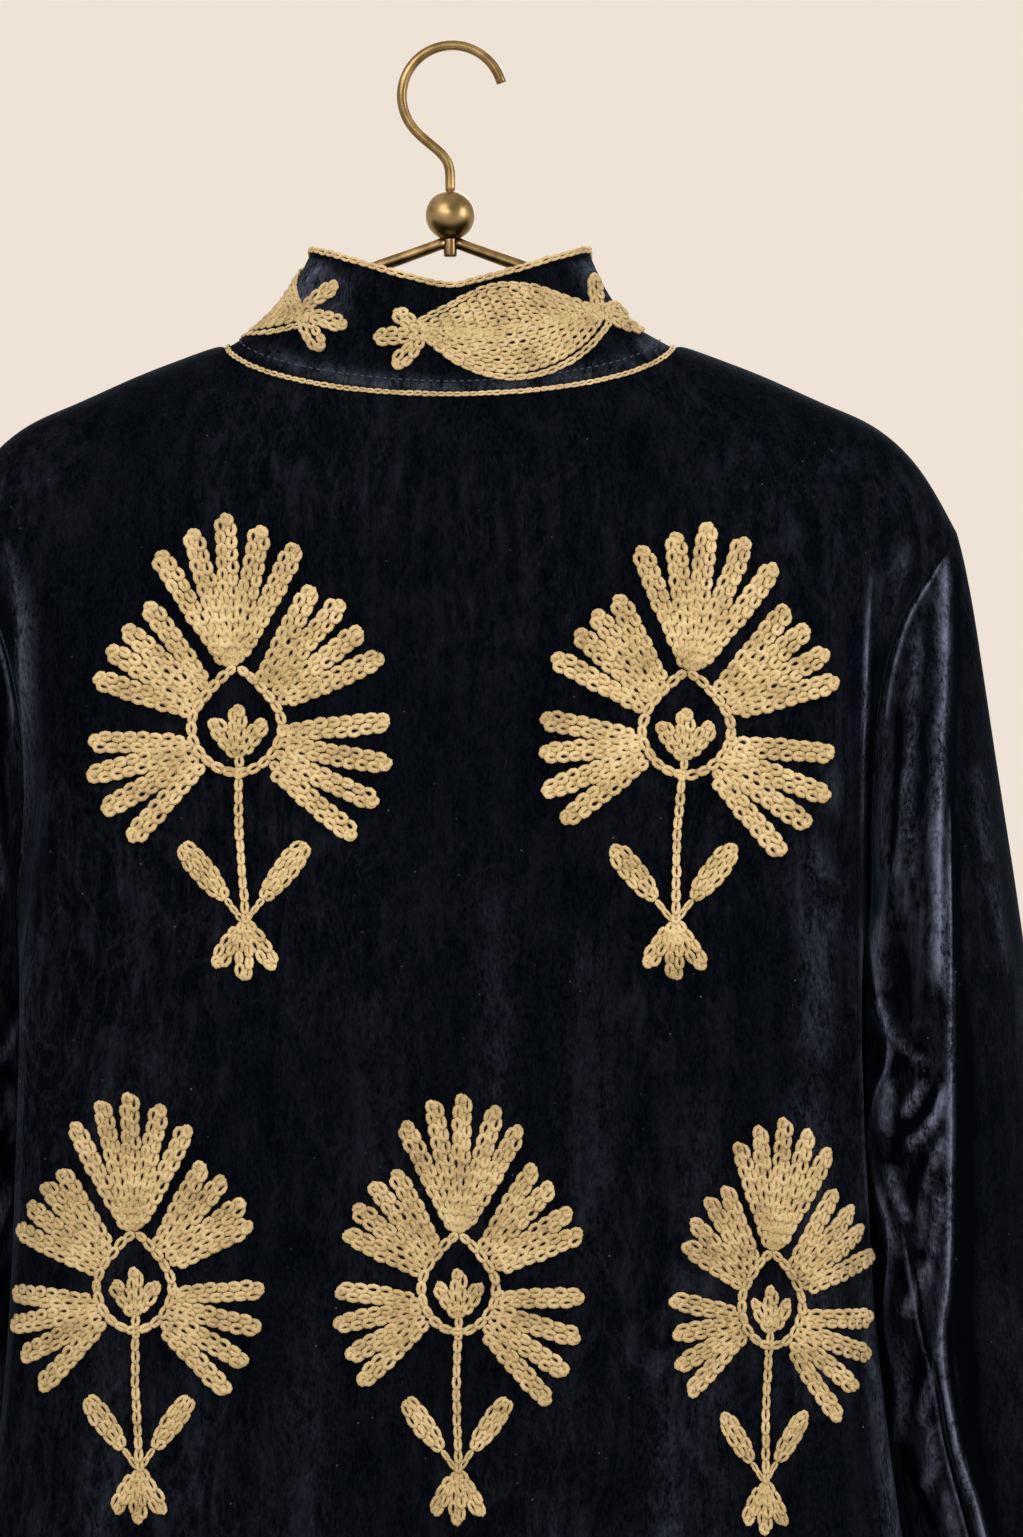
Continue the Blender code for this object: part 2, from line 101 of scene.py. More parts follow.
class Finish:
    """A material under construction: its shader, and one method that adds any other node."""

    def __init__(self, name, **sockets):
        self.material = bpy.data.materials.new(name)
        self.material.use_nodes = True
        self.tree = self.material.node_tree
        self.shader = self.tree.nodes["Principled BSDF"]
        for socket, value in sockets.items():
            self.shader.inputs[socket.replace("_", " ")].default_value = value

    def node(self, kind, settings=None, output=0, stops=None, **sockets):
        made = self.tree.nodes.new("ShaderNode" + kind)
        for key, value in (settings or {}).items():
            setattr(made, key, value)
        if stops:
            for index, (place, colour) in enumerate(stops):
                stop = made.color_ramp.elements[index] if index < 2 else made.color_ramp.elements.new(place)
                stop.position, stop.color = place, (*colour, 1) if len(colour) == 3 else colour
        for socket, value in sockets.items():
            place = made.inputs[int(socket[1:])] if socket[0] == "i" and socket[1:].isdigit() else made.inputs[socket]
            if isinstance(value, Wave):
                self.tree.links.new(value.socket, place)
            else:
                place.default_value = value
        return Wave(self.tree, made.outputs[output])

    def noise(self, place, scale, detail, roughness, distortion=0.0):
        sockets = {"Scale": scale, "Detail": detail, "Roughness": roughness, "Distortion": distortion}
        return self.node("TexNoise", Vector=place, **sockets)

    def stretched(self, place, tall):
        return self.node("Mapping", {"vector_type": "POINT"}, Vector=place, Scale=(1.0, 1.0, tall))

    def mix(self, share, first, second):
        """Two colours mixed; the colour inputs of the node are its seventh and eighth."""
        return self.node("Mix", {"data_type": "RGBA"}, output=2, i0=share, i6=first, i7=second)

    def feed(self, socket, wave):
        self.tree.links.new(wave.socket, self.shader.inputs[socket])


def beside(finish, place, path, side=0):
    """How far a place lies outside a line down the back of the cloth, in millimetres, and the line's strength there.

    The line is (x, z) places in millimetres, measured outwards on the wearer's right side (1), on the left
    side (-1) or on both (0). It fades out at its ends and round the front.
    """
    top, bottom = path[0][1] / 1000, path[-1][1] / 1000
    x = finish.node("SeparateXYZ", Vector=place)
    x = x * float(side) if side else x.size()
    y = finish.node("SeparateXYZ", output=1, Vector=place)
    along = (finish.node("SeparateXYZ", output=2, Vector=place) - top) * (1 / (bottom - top))
    curve = finish.node("FloatCurve", Value=along)
    mapping = curve.socket.node.mapping
    shape = mapping.curves[0]
    for index, (px, pz) in enumerate(path):
        spot = ((pz / 1000 - top) / (bottom - top), (px - 150) / 150)
        if index in (0, len(path) - 1):
            shape.points[-1 if index else 0].location = spot
        else:
            shape.points.new(*spot)
    mapping.update()
    off = x * 1000.0 - (curve * 150.0 + 150.0)
    ends = (along * 14.0).kept() * ((1.0 - along) * 14.0).kept()
    return off, ends * (0.5 - y * 40.0).kept()


def glint(off, inner, outer):
    """1 on a line and 0 past these distances inside and outside of it: the shape of a painted highlight along a fold's
    edge.
    """
    reach = (off * 50.0).kept() * (outer - inner) + inner
    near = (1.0 - off.size().maths("DIVIDE", reach)).kept()
    return near * near


def velvet_finish(name, crush, lines, calm=None):
    """Navy velvet; crush is how strongly the nap is pressed into streaks, and how strongly its painted sheen
    patches and crumple highlights show. Each piece's attribute of painted fold shading holds highlights
    painted where its folds and pressed places catch the light, and painted shade where it is negative. Its
    lines are the sharp edges of folds, each a painted highlight with painted shade beside it:
    (path, strength, reach inwards, reach outwards, first and last distance of the shade beside it, side).
    Outside the line calm, the nap lies smooth and the painted sheen patches fade.
    """
    finish = Finish(
        name,
        Roughness=0.92,
        Specular_IOR_Level=0.012,
        Sheen_Weight=0.075,
        Sheen_Roughness=0.30,
        Sheen_Tint=(0.26, 0.40, 0.62, 1),
    )
    place = finish.node("TexCoord", output=3)
    drawn, brushed = finish.stretched(place, 0.16), finish.stretched(place, 0.45)
    streaks = finish.noise(drawn, 84, 5, 0.66, 0.7)
    patches = finish.noise(brushed, 105, 6, 0.70, 0.6)
    clouds = finish.noise(place, 8, 2, 0.5)
    pile = finish.noise(brushed, 760, 2, 0.7)
    lint = finish.node("TexVoronoi", {"feature": "F1"}, Vector=place, Scale=105)
    crumple = finish.noise(brushed, 46, 4, 0.55, 1.4)
    # Each piece's painted fold shading: highlights on folds, painted shade where negative.
    painted_fold_shading = finish.node("Attribute", {"attribute_name": "painted_fold_shading"}, output=2)
    mottle = (streaks * 0.28 + patches * 0.30 + pile * 0.42 - 0.42).kept(3.6)
    # Patches of pressed nap, made lighter in the colour as painted sheen.
    pressed_nap_sheen = (streaks * 0.5 + patches * 0.5 - 0.49).kept(7.0) * (clouds * 2.6 - 0.95).kept()
    # Crumple lines: they raise the bump, and paint highlights into the colour where they catch the light.
    veins = (1.0 - (crumple - 0.5).size() * 20.0).kept() * (pile * 2.0 - 0.4)
    # Patches where the crumples' painted highlights show.
    crumple_sheen_patches = (clouds * 3.0 - 1.1).kept()
    # Outside the calm line the painted sheen patches fade, where the nap lies smooth.
    if calm:
        off, present = beside(finish, place, calm)
        smooth_nap = (off * 0.12 + 0.5).kept() * present * 0.85
        crumple_sheen_patches, pressed_nap_sheen = crumple_sheen_patches * (1.0 - smooth_nap), pressed_nap_sheen * (1.0 - smooth_nap)
    # Painted highlights where folds and crumples catch the light, and painted shade where the fold shading is negative.
    caught = painted_fold_shading * ((streaks * 1.6 + patches * 2.8 + pile * 2.4 - 2.8).maths("MAXIMUM", 0.08) + veins * 1.1)
    grain = (streaks * 3.4 + patches * 2.2 + pile * 2.4 - 3.25).maths("MAXIMUM", 0.08)
    # light is the share of painted sheen and highlights in the colour, with a little random mottle.
    light = mottle * 0.035 + pressed_nap_sheen * (0.02 + 0.16 * crush) + caught + veins * crumple_sheen_patches * (0.02 + 0.09 * crush)
    # Each line paints a highlight along a fold's edge, and painted shade in the fold beside it.
    for path, strength, inner, outer, shade_from, shade_to, side in lines:
        off, present = beside(finish, place, path, side)
        light = light + glint(off, inner, outer) * present * grain * strength
        past = ((off - shade_from) * 0.7).kept()
        before = ((shade_to - off) * 0.7).kept()
        light = light * (1.0 - past * before * present)
    light = light.kept()
    specks = (0.055 - lint).kept(40.0) * (pile * 3.0 - 1.35).kept()
    # From the velvet's dark colour towards a blue-grey: a little random mottle, mostly painted sheen and highlights.
    # The lint specks are real.
    nap_down, mottle_and_sheen_colour, fluff = (0.0004, 0.0010, 0.0021, 1), (0.111, 0.127, 0.194, 1), (0.16, 0.18, 0.23, 1)
    finish.feed("Base Color", finish.mix(specks * 0.7, finish.mix(light, nap_down, mottle_and_sheen_colour), fluff))
    height = patches * (0.35 + 0.65 * crush) + pile * 0.22 + veins * 0.25 * crush
    finish.feed("Normal", finish.node("Bump", Strength=0.5, Distance=0.0016, Height=height))
    return finish.material


# Back panel: one piece of velvet from the neck seam to the hem, hanging from the hanger's arms.
# It drops nearly flat, turns in at a soft fold before each side, and flutes a little lower down.
# Heights of the cut, measured down from the hook
UNDERARM = -0.430
HEM = -0.835
SHOULDER_TIP_X = 0.2335
SHOULDER_TIP_Z = -0.2230
# Neckline: an oval seen from behind, lower at the back than at its sides and much lower in front
NECK_HALF_WIDTH = 0.104
NECK_SIDE_Z = -0.135
NECK_DROP_BACK = 0.028
NECK_DROP_FRONT = 0.080
# The cloth turns over the hanger's arms in a soft ridge, which is fully open this far below it,
# and a little more tightly towards the sleeve's head
RIDGE = 0.115
RIDGE_AT_TIP = 0.085
RIDGE_TIGHTENS_X = 0.150
SIDE_STRIP = 0.93  # share of a panel's width beyond which its folds and its ridge fade into the seam
# Armhole: half its opening from back to front
ARMHOLE_OPEN = 0.036
# Shoulder line: distance from the middle, height
SHOULDER = (
    (0.000, -0.0900), (0.052, -0.1120), (0.104, -0.1350), (0.1426, -0.1496), (0.1748, -0.1642),
    (0.1932, -0.1716), (0.2094, -0.1838), (0.2232, -0.2018), (0.2335, -0.2230),
)
# Sections of the body: height, half width at the wearer's left, half width at the right,
# depth of the back, depth of the front, squareness of the section
BODY = (
    (-0.090, 0.2335, 0.2335, 0.058, 0.050, 2.6),
    (-0.223, 0.2335, 0.2335, 0.060, 0.056, 3.0),
    (-0.242, 0.2215, 0.2208, 0.060, 0.057, 3.5),
    (-0.263, 0.2090, 0.2075, 0.060, 0.058, 4.2),
    (-0.287, 0.2020, 0.2010, 0.060, 0.058, 4.8),
    (-0.320, 0.1985, 0.1972, 0.060, 0.059, 5.0),
    (-0.345, 0.1970, 0.1952, 0.061, 0.060, 5.0),
    (-0.390, 0.2000, 0.1938, 0.062, 0.060, 5.0),
    (-0.430, 0.2030, 0.1940, 0.063, 0.061, 5.0),
    (-0.482, 0.2045, 0.1955, 0.065, 0.062, 4.8),
    (-0.573, 0.2080, 0.2010, 0.069, 0.066, 4.5),
    (-0.642, 0.2135, 0.2090, 0.072, 0.069, 4.2),
    (-0.681, 0.2185, 0.2145, 0.074, 0.071, 4.0),
    (-0.835, 0.2420, 0.2400, 0.082, 0.079, 3.8),
)
# How far the body's sides sink in between its back and its front, where the sleeves nest: height, depth
SIDE_RECESS = ((-0.395, 0.0), (-0.430, 0.0070), (-0.470, 0.0130), (-0.560, 0.0148), (-0.835, 0.0140))
# Folds down the cloth: middle as a share of the panel's width (negative towards the wearer's left),
# width as a share, depth outwards, height where it starts, height where it is whole
BACK_FOLDS = (
    (-0.86, 0.075, -0.0045, -0.240, -0.300),
    (0.86, 0.075, -0.0050, -0.235, -0.290),
    (-0.52, 0.110, 0.0050, -0.520, -0.835),
    (-0.22, 0.100, -0.0045, -0.560, -0.835),
    (0.07, 0.110, 0.0050, -0.540, -0.835),
    (0.36, 0.100, -0.0050, -0.560, -0.835),
    (0.62, 0.110, 0.0060, -0.500, -0.835),
)
SEAM_LAP = 0.0002  # by which the sewn edges pass one another
VELVET = 0.0018  # its thickness
# Mesh sizes
NECK_COLUMNS = 8
SHOULDER_COLUMNS = 9
ARMHOLE_ROWS = 14
LOWER_ROWS = 13


def smooth(table, column, at):
    """The column of a table at a value of its first column, on a smooth curve through its rows."""
    rows = sorted((row[0], row[column]) for row in table)
    x = np.array([row[0] for row in rows])
    y = np.array([row[1] for row in rows])
    at = min(max(at, x[0]), x[-1])
    i = int(min(max(np.searchsorted(x, at) - 1, 0), len(x) - 2))
    slopes = np.diff(y) / np.diff(x)

    def tangent(k):
        """Zero at a peak, else the harmonic mean of the slopes beside it, so that nothing overshoots."""
        if k == 0 or k == len(x) - 1:
            return slopes[min(k, len(slopes) - 1)]
        before, after = slopes[k - 1], slopes[k]
        return 0.0 if before * after <= 0 else 2 * before * after / (before + after)

    step = x[i + 1] - x[i]
    t = (at - x[i]) / step
    start = (2 * t**3 - 3 * t**2 + 1) * y[i] + (t**3 - 2 * t**2 + t) * step * tangent(i)
    end = (3 * t**2 - 2 * t**3) * y[i + 1] + (t**3 - t**2) * step * tangent(i + 1)
    return float(start + end)


def rise(value, start, end):
    """0 before start and 1 after end, eased between them."""
    t = min(max((value - start) / (end - start), 0.0), 1.0)
    return t * t * (3 - 2 * t)


def even_corner_table():
    """Shares of a square-cornered section's width, evenly spaced along its edge from the middle to the side."""
    width, depth, power = 0.2, 0.06, 5.0
    angle = np.linspace(0, math.pi / 2, 4001)
    x = np.sin(angle) ** (2 / power)
    y = np.cos(angle) ** (2 / power)
    run = np.concatenate([[0], np.cumsum(np.hypot(np.diff(x) * width, np.diff(y) * depth))])
    return run / run[-1], x


CORNER_RUN, CORNER_X = even_corner_table()


def shoulder_z(x):
    return smooth(SHOULDER, 1, abs(x))


def neck_z(x, front):
    drop = NECK_DROP_FRONT if front else NECK_DROP_BACK
    share = min(abs(x) / NECK_HALF_WIDTH, 1.0)
    return NECK_SIDE_Z - drop * math.sqrt(1 - share * share)


def half_width(side, z):
    return smooth(BODY, 1 if side < 0 else 2, z)


def recess(z):
    return smooth(SIDE_RECESS, 1, z)


def armhole_open(z):
    """Half the armhole's opening from back to front at a height."""
    middle = (SHOULDER_TIP_Z + UNDERARM) / 2
    half = (SHOULDER_TIP_Z - UNDERARM) / 2
    share = (z - middle) / half
    return ARMHOLE_OPEN * math.sqrt(max(0.0, 1 - share * share))


def body_point(u, z, front):
    """A point of the body's outer surface. u runs from 0 in the middle to 1 or -1 at the armhole and side seam."""
    side = -1 if u < 0 else 1
    width = half_width(side, z)
    depth = smooth(BODY, 4 if front else 3, z)
    power = smooth(BODY, 5, z)
    reach = (1 - (armhole_open(z) / depth) ** power) ** (1 / power)
    squared = rise(-z, -SHOULDER_TIP_Z, 0.33)
    across = (1 - squared) * abs(u) + squared * float(np.interp(abs(u), CORNER_RUN, CORNER_X))
    share = min(across * reach, 1.0)
    x = side * share * width
    below = max(shoulder_z(x) - z, 0.0)
    turn = RIDGE + (RIDGE_AT_TIP - RIDGE) * rise(abs(x), RIDGE_TIGHTENS_X, SHOULDER_TIP_X)
    ridge = math.sqrt(1 - (1 - min(below / turn, 1.0)) ** 2)
    ridge += (1 - ridge) * rise(abs(u), SIDE_STRIP, 1.0)
    out = depth * max(1 - share**power, 0.0) ** (1 / power) * ridge
    x -= side * recess(z) * rise(abs(u), 0.82 if front else 0.87, 0.97)
    return Vector((x, out if front else -out, z))


def folded(u, z, front):
    """The body's surface with its folds, which swell outwards or sink in across the panel."""
    point = body_point(u, z, front)
    folds = FRONT_FOLDS if front else BACK_FOLDS
    across = abs(u) if front else u
    for middle, width, depth, start, whole in folds:
        swell = math.exp(-(((across - middle) / width) ** 2)) * rise(-z, -start, -whole)
        fade = 1 - rise(abs(u), SIDE_STRIP, 1.0)
        point += body_normal(u, z, front) * depth * swell * fade
    return point


def body_normal(u, z, front):
    """The outward direction at a point of the plain body."""
    du, dz = 1e-3, 1e-4
    low, high = (u - du, u) if abs(u) > 0.5 and u > 0 else (u, u + du)
    across = body_point(high, z, front) - body_point(low, z, front)
    down = body_point(u, z - dz, front) - body_point(u, z, front)
    normal = across.cross(down) if front else down.cross(across)
    return normal.normalized()


def columns(front):
    """Positions across half a panel, denser round the neck, with one on the neck's corner."""
    neck = NECK_HALF_WIDTH / SHOULDER_TIP_X
    first = FRONT_EDGE_X / NECK_HALF_WIDTH if front else 0.0
    angles = np.linspace(math.asin(first), math.pi / 2, NECK_COLUMNS + 1)
    inner = [neck * math.sin(angle) for angle in angles]
    outer = list(np.linspace(neck, 1.0, SHOULDER_COLUMNS + 1))[1:]
    return inner + outer


def heights(u, front):
    """Heights down a column, from the neck or shoulder seam past the underarm to the hem."""
    x = abs(u) * SHOULDER_TIP_X
    top = neck_z(x, front) if x < NECK_HALF_WIDTH else shoulder_z(x)
    upper = [top + (UNDERARM - top) * (1 - math.cos(math.pi * k / ARMHOLE_ROWS)) / 2 for k in range(ARMHOLE_ROWS + 1)]
    lower = [UNDERARM + (HEM - UNDERARM) * k / LOWER_ROWS for k in range(1, LOWER_ROWS + 1)]
    return upper + lower


def panel_rows(us, front):
    """Rows of points of a panel's outer face over these columns, its seams just overlapped at the shoulder and side."""
    tall = [heights(u, front) for u in us]
    rows = []
    for k in range(ARMHOLE_ROWS + LOWER_ROWS + 1):
        row = []
        for u, zs in zip(us, tall):
            point = folded(u, zs[k], front)
            if front:
                drift = (FRONT_EDGE_HEM_X - FRONT_EDGE_X) * rise(-zs[k], 0.3, -HEM) * (1 - abs(u))
                point.x += math.copysign(drift, u)
            point.y += -SEAM_LAP if front else SEAM_LAP
            row.append(point)
        rows.append(row)
    return rows


def add_piece(name, points, faces):
    """A mesh object in the scene."""
    mesh = bpy.data.meshes.new(name)
    mesh.from_pydata([tuple(p) for p in points], [], faces)
    mesh.update()
    piece = bpy.data.objects.new(name, mesh)
    bpy.context.scene.collection.objects.link(piece)
    return piece


def weave(name, rows, closed=False, turned=False):
    """An open cloth surface through rows of points; closed joins each row's ends, turned faces it the other way."""
    count = len(rows[0])
    faces = []
    for i in range(len(rows) - 1):
        for j in range(count if closed else count - 1):
            k = (j + 1) % count
            face = (i * count + j, (i + 1) * count + j, (i + 1) * count + k, i * count + k)
            faces.append(face[::-1] if turned else face)
    return add_piece(name, [p for row in rows for p in row], faces)


def apply_modifier(piece, kind, **settings):
    """Adds a modifier and applies it."""
    modifier = piece.modifiers.new(kind.lower(), kind)
    for key, value in settings.items():
        setattr(modifier, key, value)
    bpy.ops.object.select_all(action="DESELECT")
    piece.select_set(True)
    bpy.context.view_layer.objects.active = piece
    bpy.ops.object.modifier_apply(modifier=modifier.name)


CALM_EDGE = 0.012  # no crease lifts the cloth at its edge, and each one is whole this far from it


def press_creases(piece, creases, facing):
    """Presses each crease into the cloth, or raises it, and paints where it catches the light or lies in shade.

    A crease is (its path as x, z places in millimetres; width; height; painted shading, a highlight along it
    or painted shade where negative). facing is -1 for what the camera sees and 1 for the far side, which
    takes the same creases.
    """
    mesh = piece.data
    count = len(mesh.vertices)
    spots = np.empty(count * 3)
    normals = np.empty(count * 3)
    mesh.vertices.foreach_get("co", spots)
    mesh.vertices.foreach_get("normal", normals)
    spots, normals = spots.reshape(-1, 3), normals.reshape(-1, 3)
    on_edge = np.zeros(count, bool)
    uses = {}
    for face in mesh.polygons:
        for key in face.edge_keys:
            uses[key] = uses.get(key, 0) + 1
    for (a, b), n in uses.items():
        if n == 1:
            on_edge[[a, b]] = True
    rim = spots[on_edge]
    lift, painted_fold_shading = np.zeros(count), np.zeros(count)
    side = np.clip(facing * normals[:, 1] * 1.6 + 0.35, 0, 1)
    flat = spots[:, [0, 2]]
    for path, width, height, glow in creases:
        path = np.array(path) / 1000
        lengths = np.linalg.norm(np.diff(path, axis=0), axis=1)
        nearest, share = np.full(count, 1e9), np.zeros(count)
        for k, (a, b) in enumerate(zip(path[:-1], path[1:])):
            along = np.clip(((flat - a) @ (b - a)) / ((b - a) @ (b - a)), 0, 1)
            off = np.linalg.norm(flat - (a + along[:, None] * (b - a)), axis=1)
            closer = off < nearest
            nearest[closer] = off[closer]
            share[closer] = (lengths[:k].sum() + along[closer] * lengths[k]) / lengths.sum()
        ends = np.sqrt(np.clip(1 - (2 * share - 1) ** 4, 0, 1))
        lift += height / 1000 * np.exp(-((nearest * 1000 / width) ** 2)) * ends * side
        # the crease's painted highlight, or painted shade where its number is negative
        painted_fold_shading += glow * np.exp(-((nearest * 1000 / (0.8 * width)) ** 2)) * ends * side
    near = np.full(count, 1.0)
    block = 4000
    for start in range(0, count, block):
        gap = np.linalg.norm(spots[start : start + block, None] - rim[None], axis=2).min(axis=1)
        near[start : start + block] = np.clip(gap / CALM_EDGE, 0, 1)
    spots += normals * (lift * near)[:, None]
    mesh.vertices.foreach_set("co", spots.ravel())
    mesh.attributes.new("painted_fold_shading", "FLOAT", "POINT").data.foreach_set("value", np.clip(painted_fold_shading, -1, 1))
    mesh.update()


TUCK_DEPTH, TUCK_WIDTH = 0.017, 0.0085
TUCK_STARTS, TUCK_ENDS = (0.262, 0.325), (0.398, 0.428)  # distances down


def tuck_armholes(piece):
    """Draws the cloth in along the back of each armhole, whose seam lies in a deep fold behind the back's crest."""
    for vertex in piece.data.vertices:
        x, y, z = vertex.co
        side = -1 if x < 0 else 1
        depth = TUCK_DEPTH * rise(-z, *TUCK_STARTS) * (1 - rise(-z, *TUCK_ENDS))
        if depth > 0:
            off = math.hypot(x - side * half_width(side, z), y + armhole_open(z))
            vertex.co.y += depth * math.exp(-((off / TUCK_WIDTH) ** 2))


def stand_for(piece, node, finish):
    """Shows a smooth piece in this finish instead of the frame's node."""
    piece.data.shade_smooth()
    piece.data.materials.clear()
    piece.data.materials.append(finish)
    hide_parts(node)
    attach(piece, "root")


def sew_cloth(piece, node, creases, finish, facing=-1, levels=2):
    """Finishes a cloth piece: smooth outer face, creases, and the velvet's thickness inwards.

    Gives back a search tree over the outer face, for laying stitches on it.
    """
    apply_modifier(piece, "SUBSURF", levels=levels, render_levels=levels, boundary_smooth="PRESERVE_CORNERS")
    press_creases(piece, creases, facing)
    if facing < 0:
        tuck_armholes(piece)
    mesh = piece.data
    outer_face = BVHTree.FromPolygons([v.co for v in mesh.vertices], [list(p.vertices) for p in mesh.polygons])
    apply_modifier(piece, "SOLIDIFY", thickness=VELVET, offset=-1, use_rim=True)
    stand_for(piece, node, finish)
    return outer_face


RIGHT_CREST = (
    (196, -240), (192, -292), (190, -354), (189, -392), (188, -430), (188, -466), (189, -491),
    (191, -526), (195, -560), (200, -587), (204, -619), (208, -635), (215, -681), (238, -835),
)
LEFT_CREST = (
    (-204, -226), (-197, -255), (-196, -300), (-197, -345), (-200, -391), (-203, -436), (-205, -482),
    (-207, -560), (-212, -640), (-218, -700), (-238, -835),
)
# Creases on the back: path, width, height, and a painted highlight along it (painted shade where negative)
BACK_CREASES = (
    (RIGHT_CREST, 4, 1.8, 0.10),
    (LEFT_CREST, 4, 1.8, 0.10),
    (((186, -300), (181, -400), (181, -480), (186, -560), (196, -640), (206, -700)), 7, -2.0, 0.02),
    (((-190, -300), (-194, -400), (-198, -480), (-200, -560), (-206, -640)), 7, -1.8, 0.02),
    (((203, -232), (199, -262), (196, -300)), 4, -1.4, 0.0),
    (((208, -228), (202, -250), (198, -280)), 4, 1.2, 0.10),
    (((194, -560), (199, -620), (204, -665), (213, -740)), 8, 0.0, 0.22),
    (((-194, -400), (-198, -470), (-201, -560)), 7, 0.0, 0.08),
    (((166, -365), (167, -420), (165, -470)), 9, 1.0, 0.10),
    (((173, -326), (174, -352)), 6, 0.6, 0.10),
    (((162, -470), (165, -560), (168, -620)), 12, 1.4, 0.10),
    (((112, -470), (116, -560), (118, -700)), 14, -1.2, 0.03),
    (((96, -590), (98, -660), (100, -760)), 10, 1.4, 0.06),
    (((60, -400), (64, -480), (66, -560)), 14, 0.8, 0.025),
    (((20, -380), (22, -450), (18, -520)), 12, 0.8, 0.03),
    (((-30, -420), (-28, -500), (-26, -640)), 14, -0.8, 0.01),
    (((-60, -560), (-64, -660), (-66, -835)), 13, 1.6, 0.03),
    (((-110, -520), (-114, -640), (-116, -835)), 12, -1.4, 0.01),
    (((44, -600), (46, -700), (44, -835)), 12, -1.4, 0.015),
    (((-150, -470), (-154, -600), (-158, -835)), 12, 1.4, 0.03),
)
# Painted highlights along the back's two crests, each with painted shade in the deep fold beside it.
CREST_LINE = (
    (192, -238), (190, -265), (189, -300), (188.4, -354), (188.2, -430), (188.6, -482), (191, -526), (195, -560),
    (200, -590), (205, -622), (208, -638), (215, -681), (226, -750), (238, -830),
)
LEFT_CREST_LINE = (
    (203, -226), (196, -255), (195, -300), (196, -345), (199, -391), (202, -436), (204, -482), (206, -560),
    (211, -640), (217, -700), (238, -830),
)
CREST_LINES = ((CREST_LINE, 0.75, 3.0, 1.2, 1.2, 16.0, 1), (LEFT_CREST_LINE, 0.40, 12.0, 1.5, 2.0, 14.0, -1))
plain_velvet = velvet_finish("navy velvet", 0.24, CREST_LINES)
half = columns(front=False)
back_cloth = weave("back_cloth", panel_rows([-u for u in reversed(half[1:])] + half, front=False))
back_surface = sew_cloth(back_cloth, "back", BACK_CREASES, plain_velvet)


# The two fronts are cut the same way as the back, open down the middle with nothing to fasten them.
# Their edges hang a little apart, and the velvet falls in two or three loose folds from the chest.
FRONT_EDGE_X = 0.008  # half the gap between the two front edges at the neck
FRONT_EDGE_HEM_X = 0.016
FRONT_FOLDS = (
    (0.14, 0.100, 0.0040, -0.420, -0.835),
    (0.34, 0.110, -0.0070, -0.340, -0.835),
    (0.55, 0.110, 0.0070, -0.330, -0.835),
    (0.84, 0.080, -0.0045, -0.240, -0.300),
)
# Creases on the fronts: path, width, height, and a painted highlight along it (painted shade where negative)
FRONT_CREASES = (
    (((190, -300), (187, -430), (190, -560), (206, -690)), 8, 1.6, 0.12),
    (((-196, -300), (-201, -430), (-205, -560), (-214, -690)), 8, 1.6, 0.12),
    (((120, -300), (124, -420), (128, -560)), 16, -1.2, 0.04),
    (((70, -420), (74, -600), (76, -835)), 14, 1.6, 0.12),
    (((-150, -340), (-154, -500), (-158, -760)), 14, 1.6, 0.12),
    (((-96, -360), (-98, -560), (-100, -835)), 14, -1.5, 0.03),
    (((-50, -480), (-54, -620), (-56, -835)), 12, 1.4, 0.10),
)
for name, side in (("front_left", -1), ("front_right", 1)):
    us = [side * u for u in columns(front=True)]
    us.sort(reverse=True)
    front_cloth = weave(name + "_cloth", panel_rows(us, front=True))
    sew_cloth(front_cloth, name, FRONT_CREASES, plain_velvet, facing=1)


# Each sleeve is one tube set into the armhole. Its nap is crushed along the inner side, where it
# has rubbed against the body, and it breaks in soft folds towards the elbow.
# Sleeve, from the shoulder down: height and distance of its outer edge
SLEEVE_OUTER = (
    (-0.2230, 0.2335), (-0.2394, 0.2380), (-0.2900, 0.2462), (-0.3361, 0.2531), (-0.3729, 0.2591),
    (-0.4051, 0.2637), (-0.45, 0.2700), (-0.52, 0.2780), (-0.60, 0.2850), (-0.70, 0.2950), (-0.80, 0.3045),
)
SLEEVE_RIDGE = 0.22  # how far each ring leaves an oval for one with a ridge down its back and front
# Gap from the body's side to the sleeve's inner edge: height, gap
SLEEVE_GAP = (
    (-0.430, 0.0004), (-0.440, 0.0030), (-0.460, 0.0045), (-0.560, 0.0050), (-0.680, 0.0065), (-0.835, 0.0080),
)
# Rings of the sleeve: height of the outer edge, height of the inner edge, half depth, forward shift
SLEEVE_RINGS = (
    (-0.2230, -0.4300, 0.0360, 0.000),
    (-0.2330, -0.4312, 0.0400, 0.000),
    (-0.2520, -0.4335, 0.0460, 0.000),
    (-0.2800, -0.4370, 0.0520, 0.001),
    (-0.3120, -0.4420, 0.0565, 0.001),
    (-0.3450, -0.4485, 0.0600, 0.002),
    (-0.3800, -0.4570, 0.0625, 0.002),
    (-0.4150, -0.4690, 0.0640, 0.003),
    (-0.4480, -0.4840, 0.0650, 0.004),
    (-0.4790, -0.5020, 0.0650, 0.005),
    (-0.5080, -0.5230, 0.0645, 0.006),
    (-0.5360, -0.5460, 0.0640, 0.007),
    (-0.5640, -0.5700, 0.0630, 0.008),
    (-0.5920, -0.5950, 0.0620, 0.010),
    (-0.6200, -0.6210, 0.0610, 0.012),
    (-0.6480, -0.6480, 0.0600, 0.014),
    (-0.6770, -0.6760, 0.0590, 0.016),
    (-0.7070, -0.7050, 0.0580, 0.018),
    (-0.7380, -0.7350, 0.0570, 0.020),
    (-0.7690, -0.7650, 0.0560, 0.022),
    (-0.8000, -0.7950, 0.0550, 0.024),
)


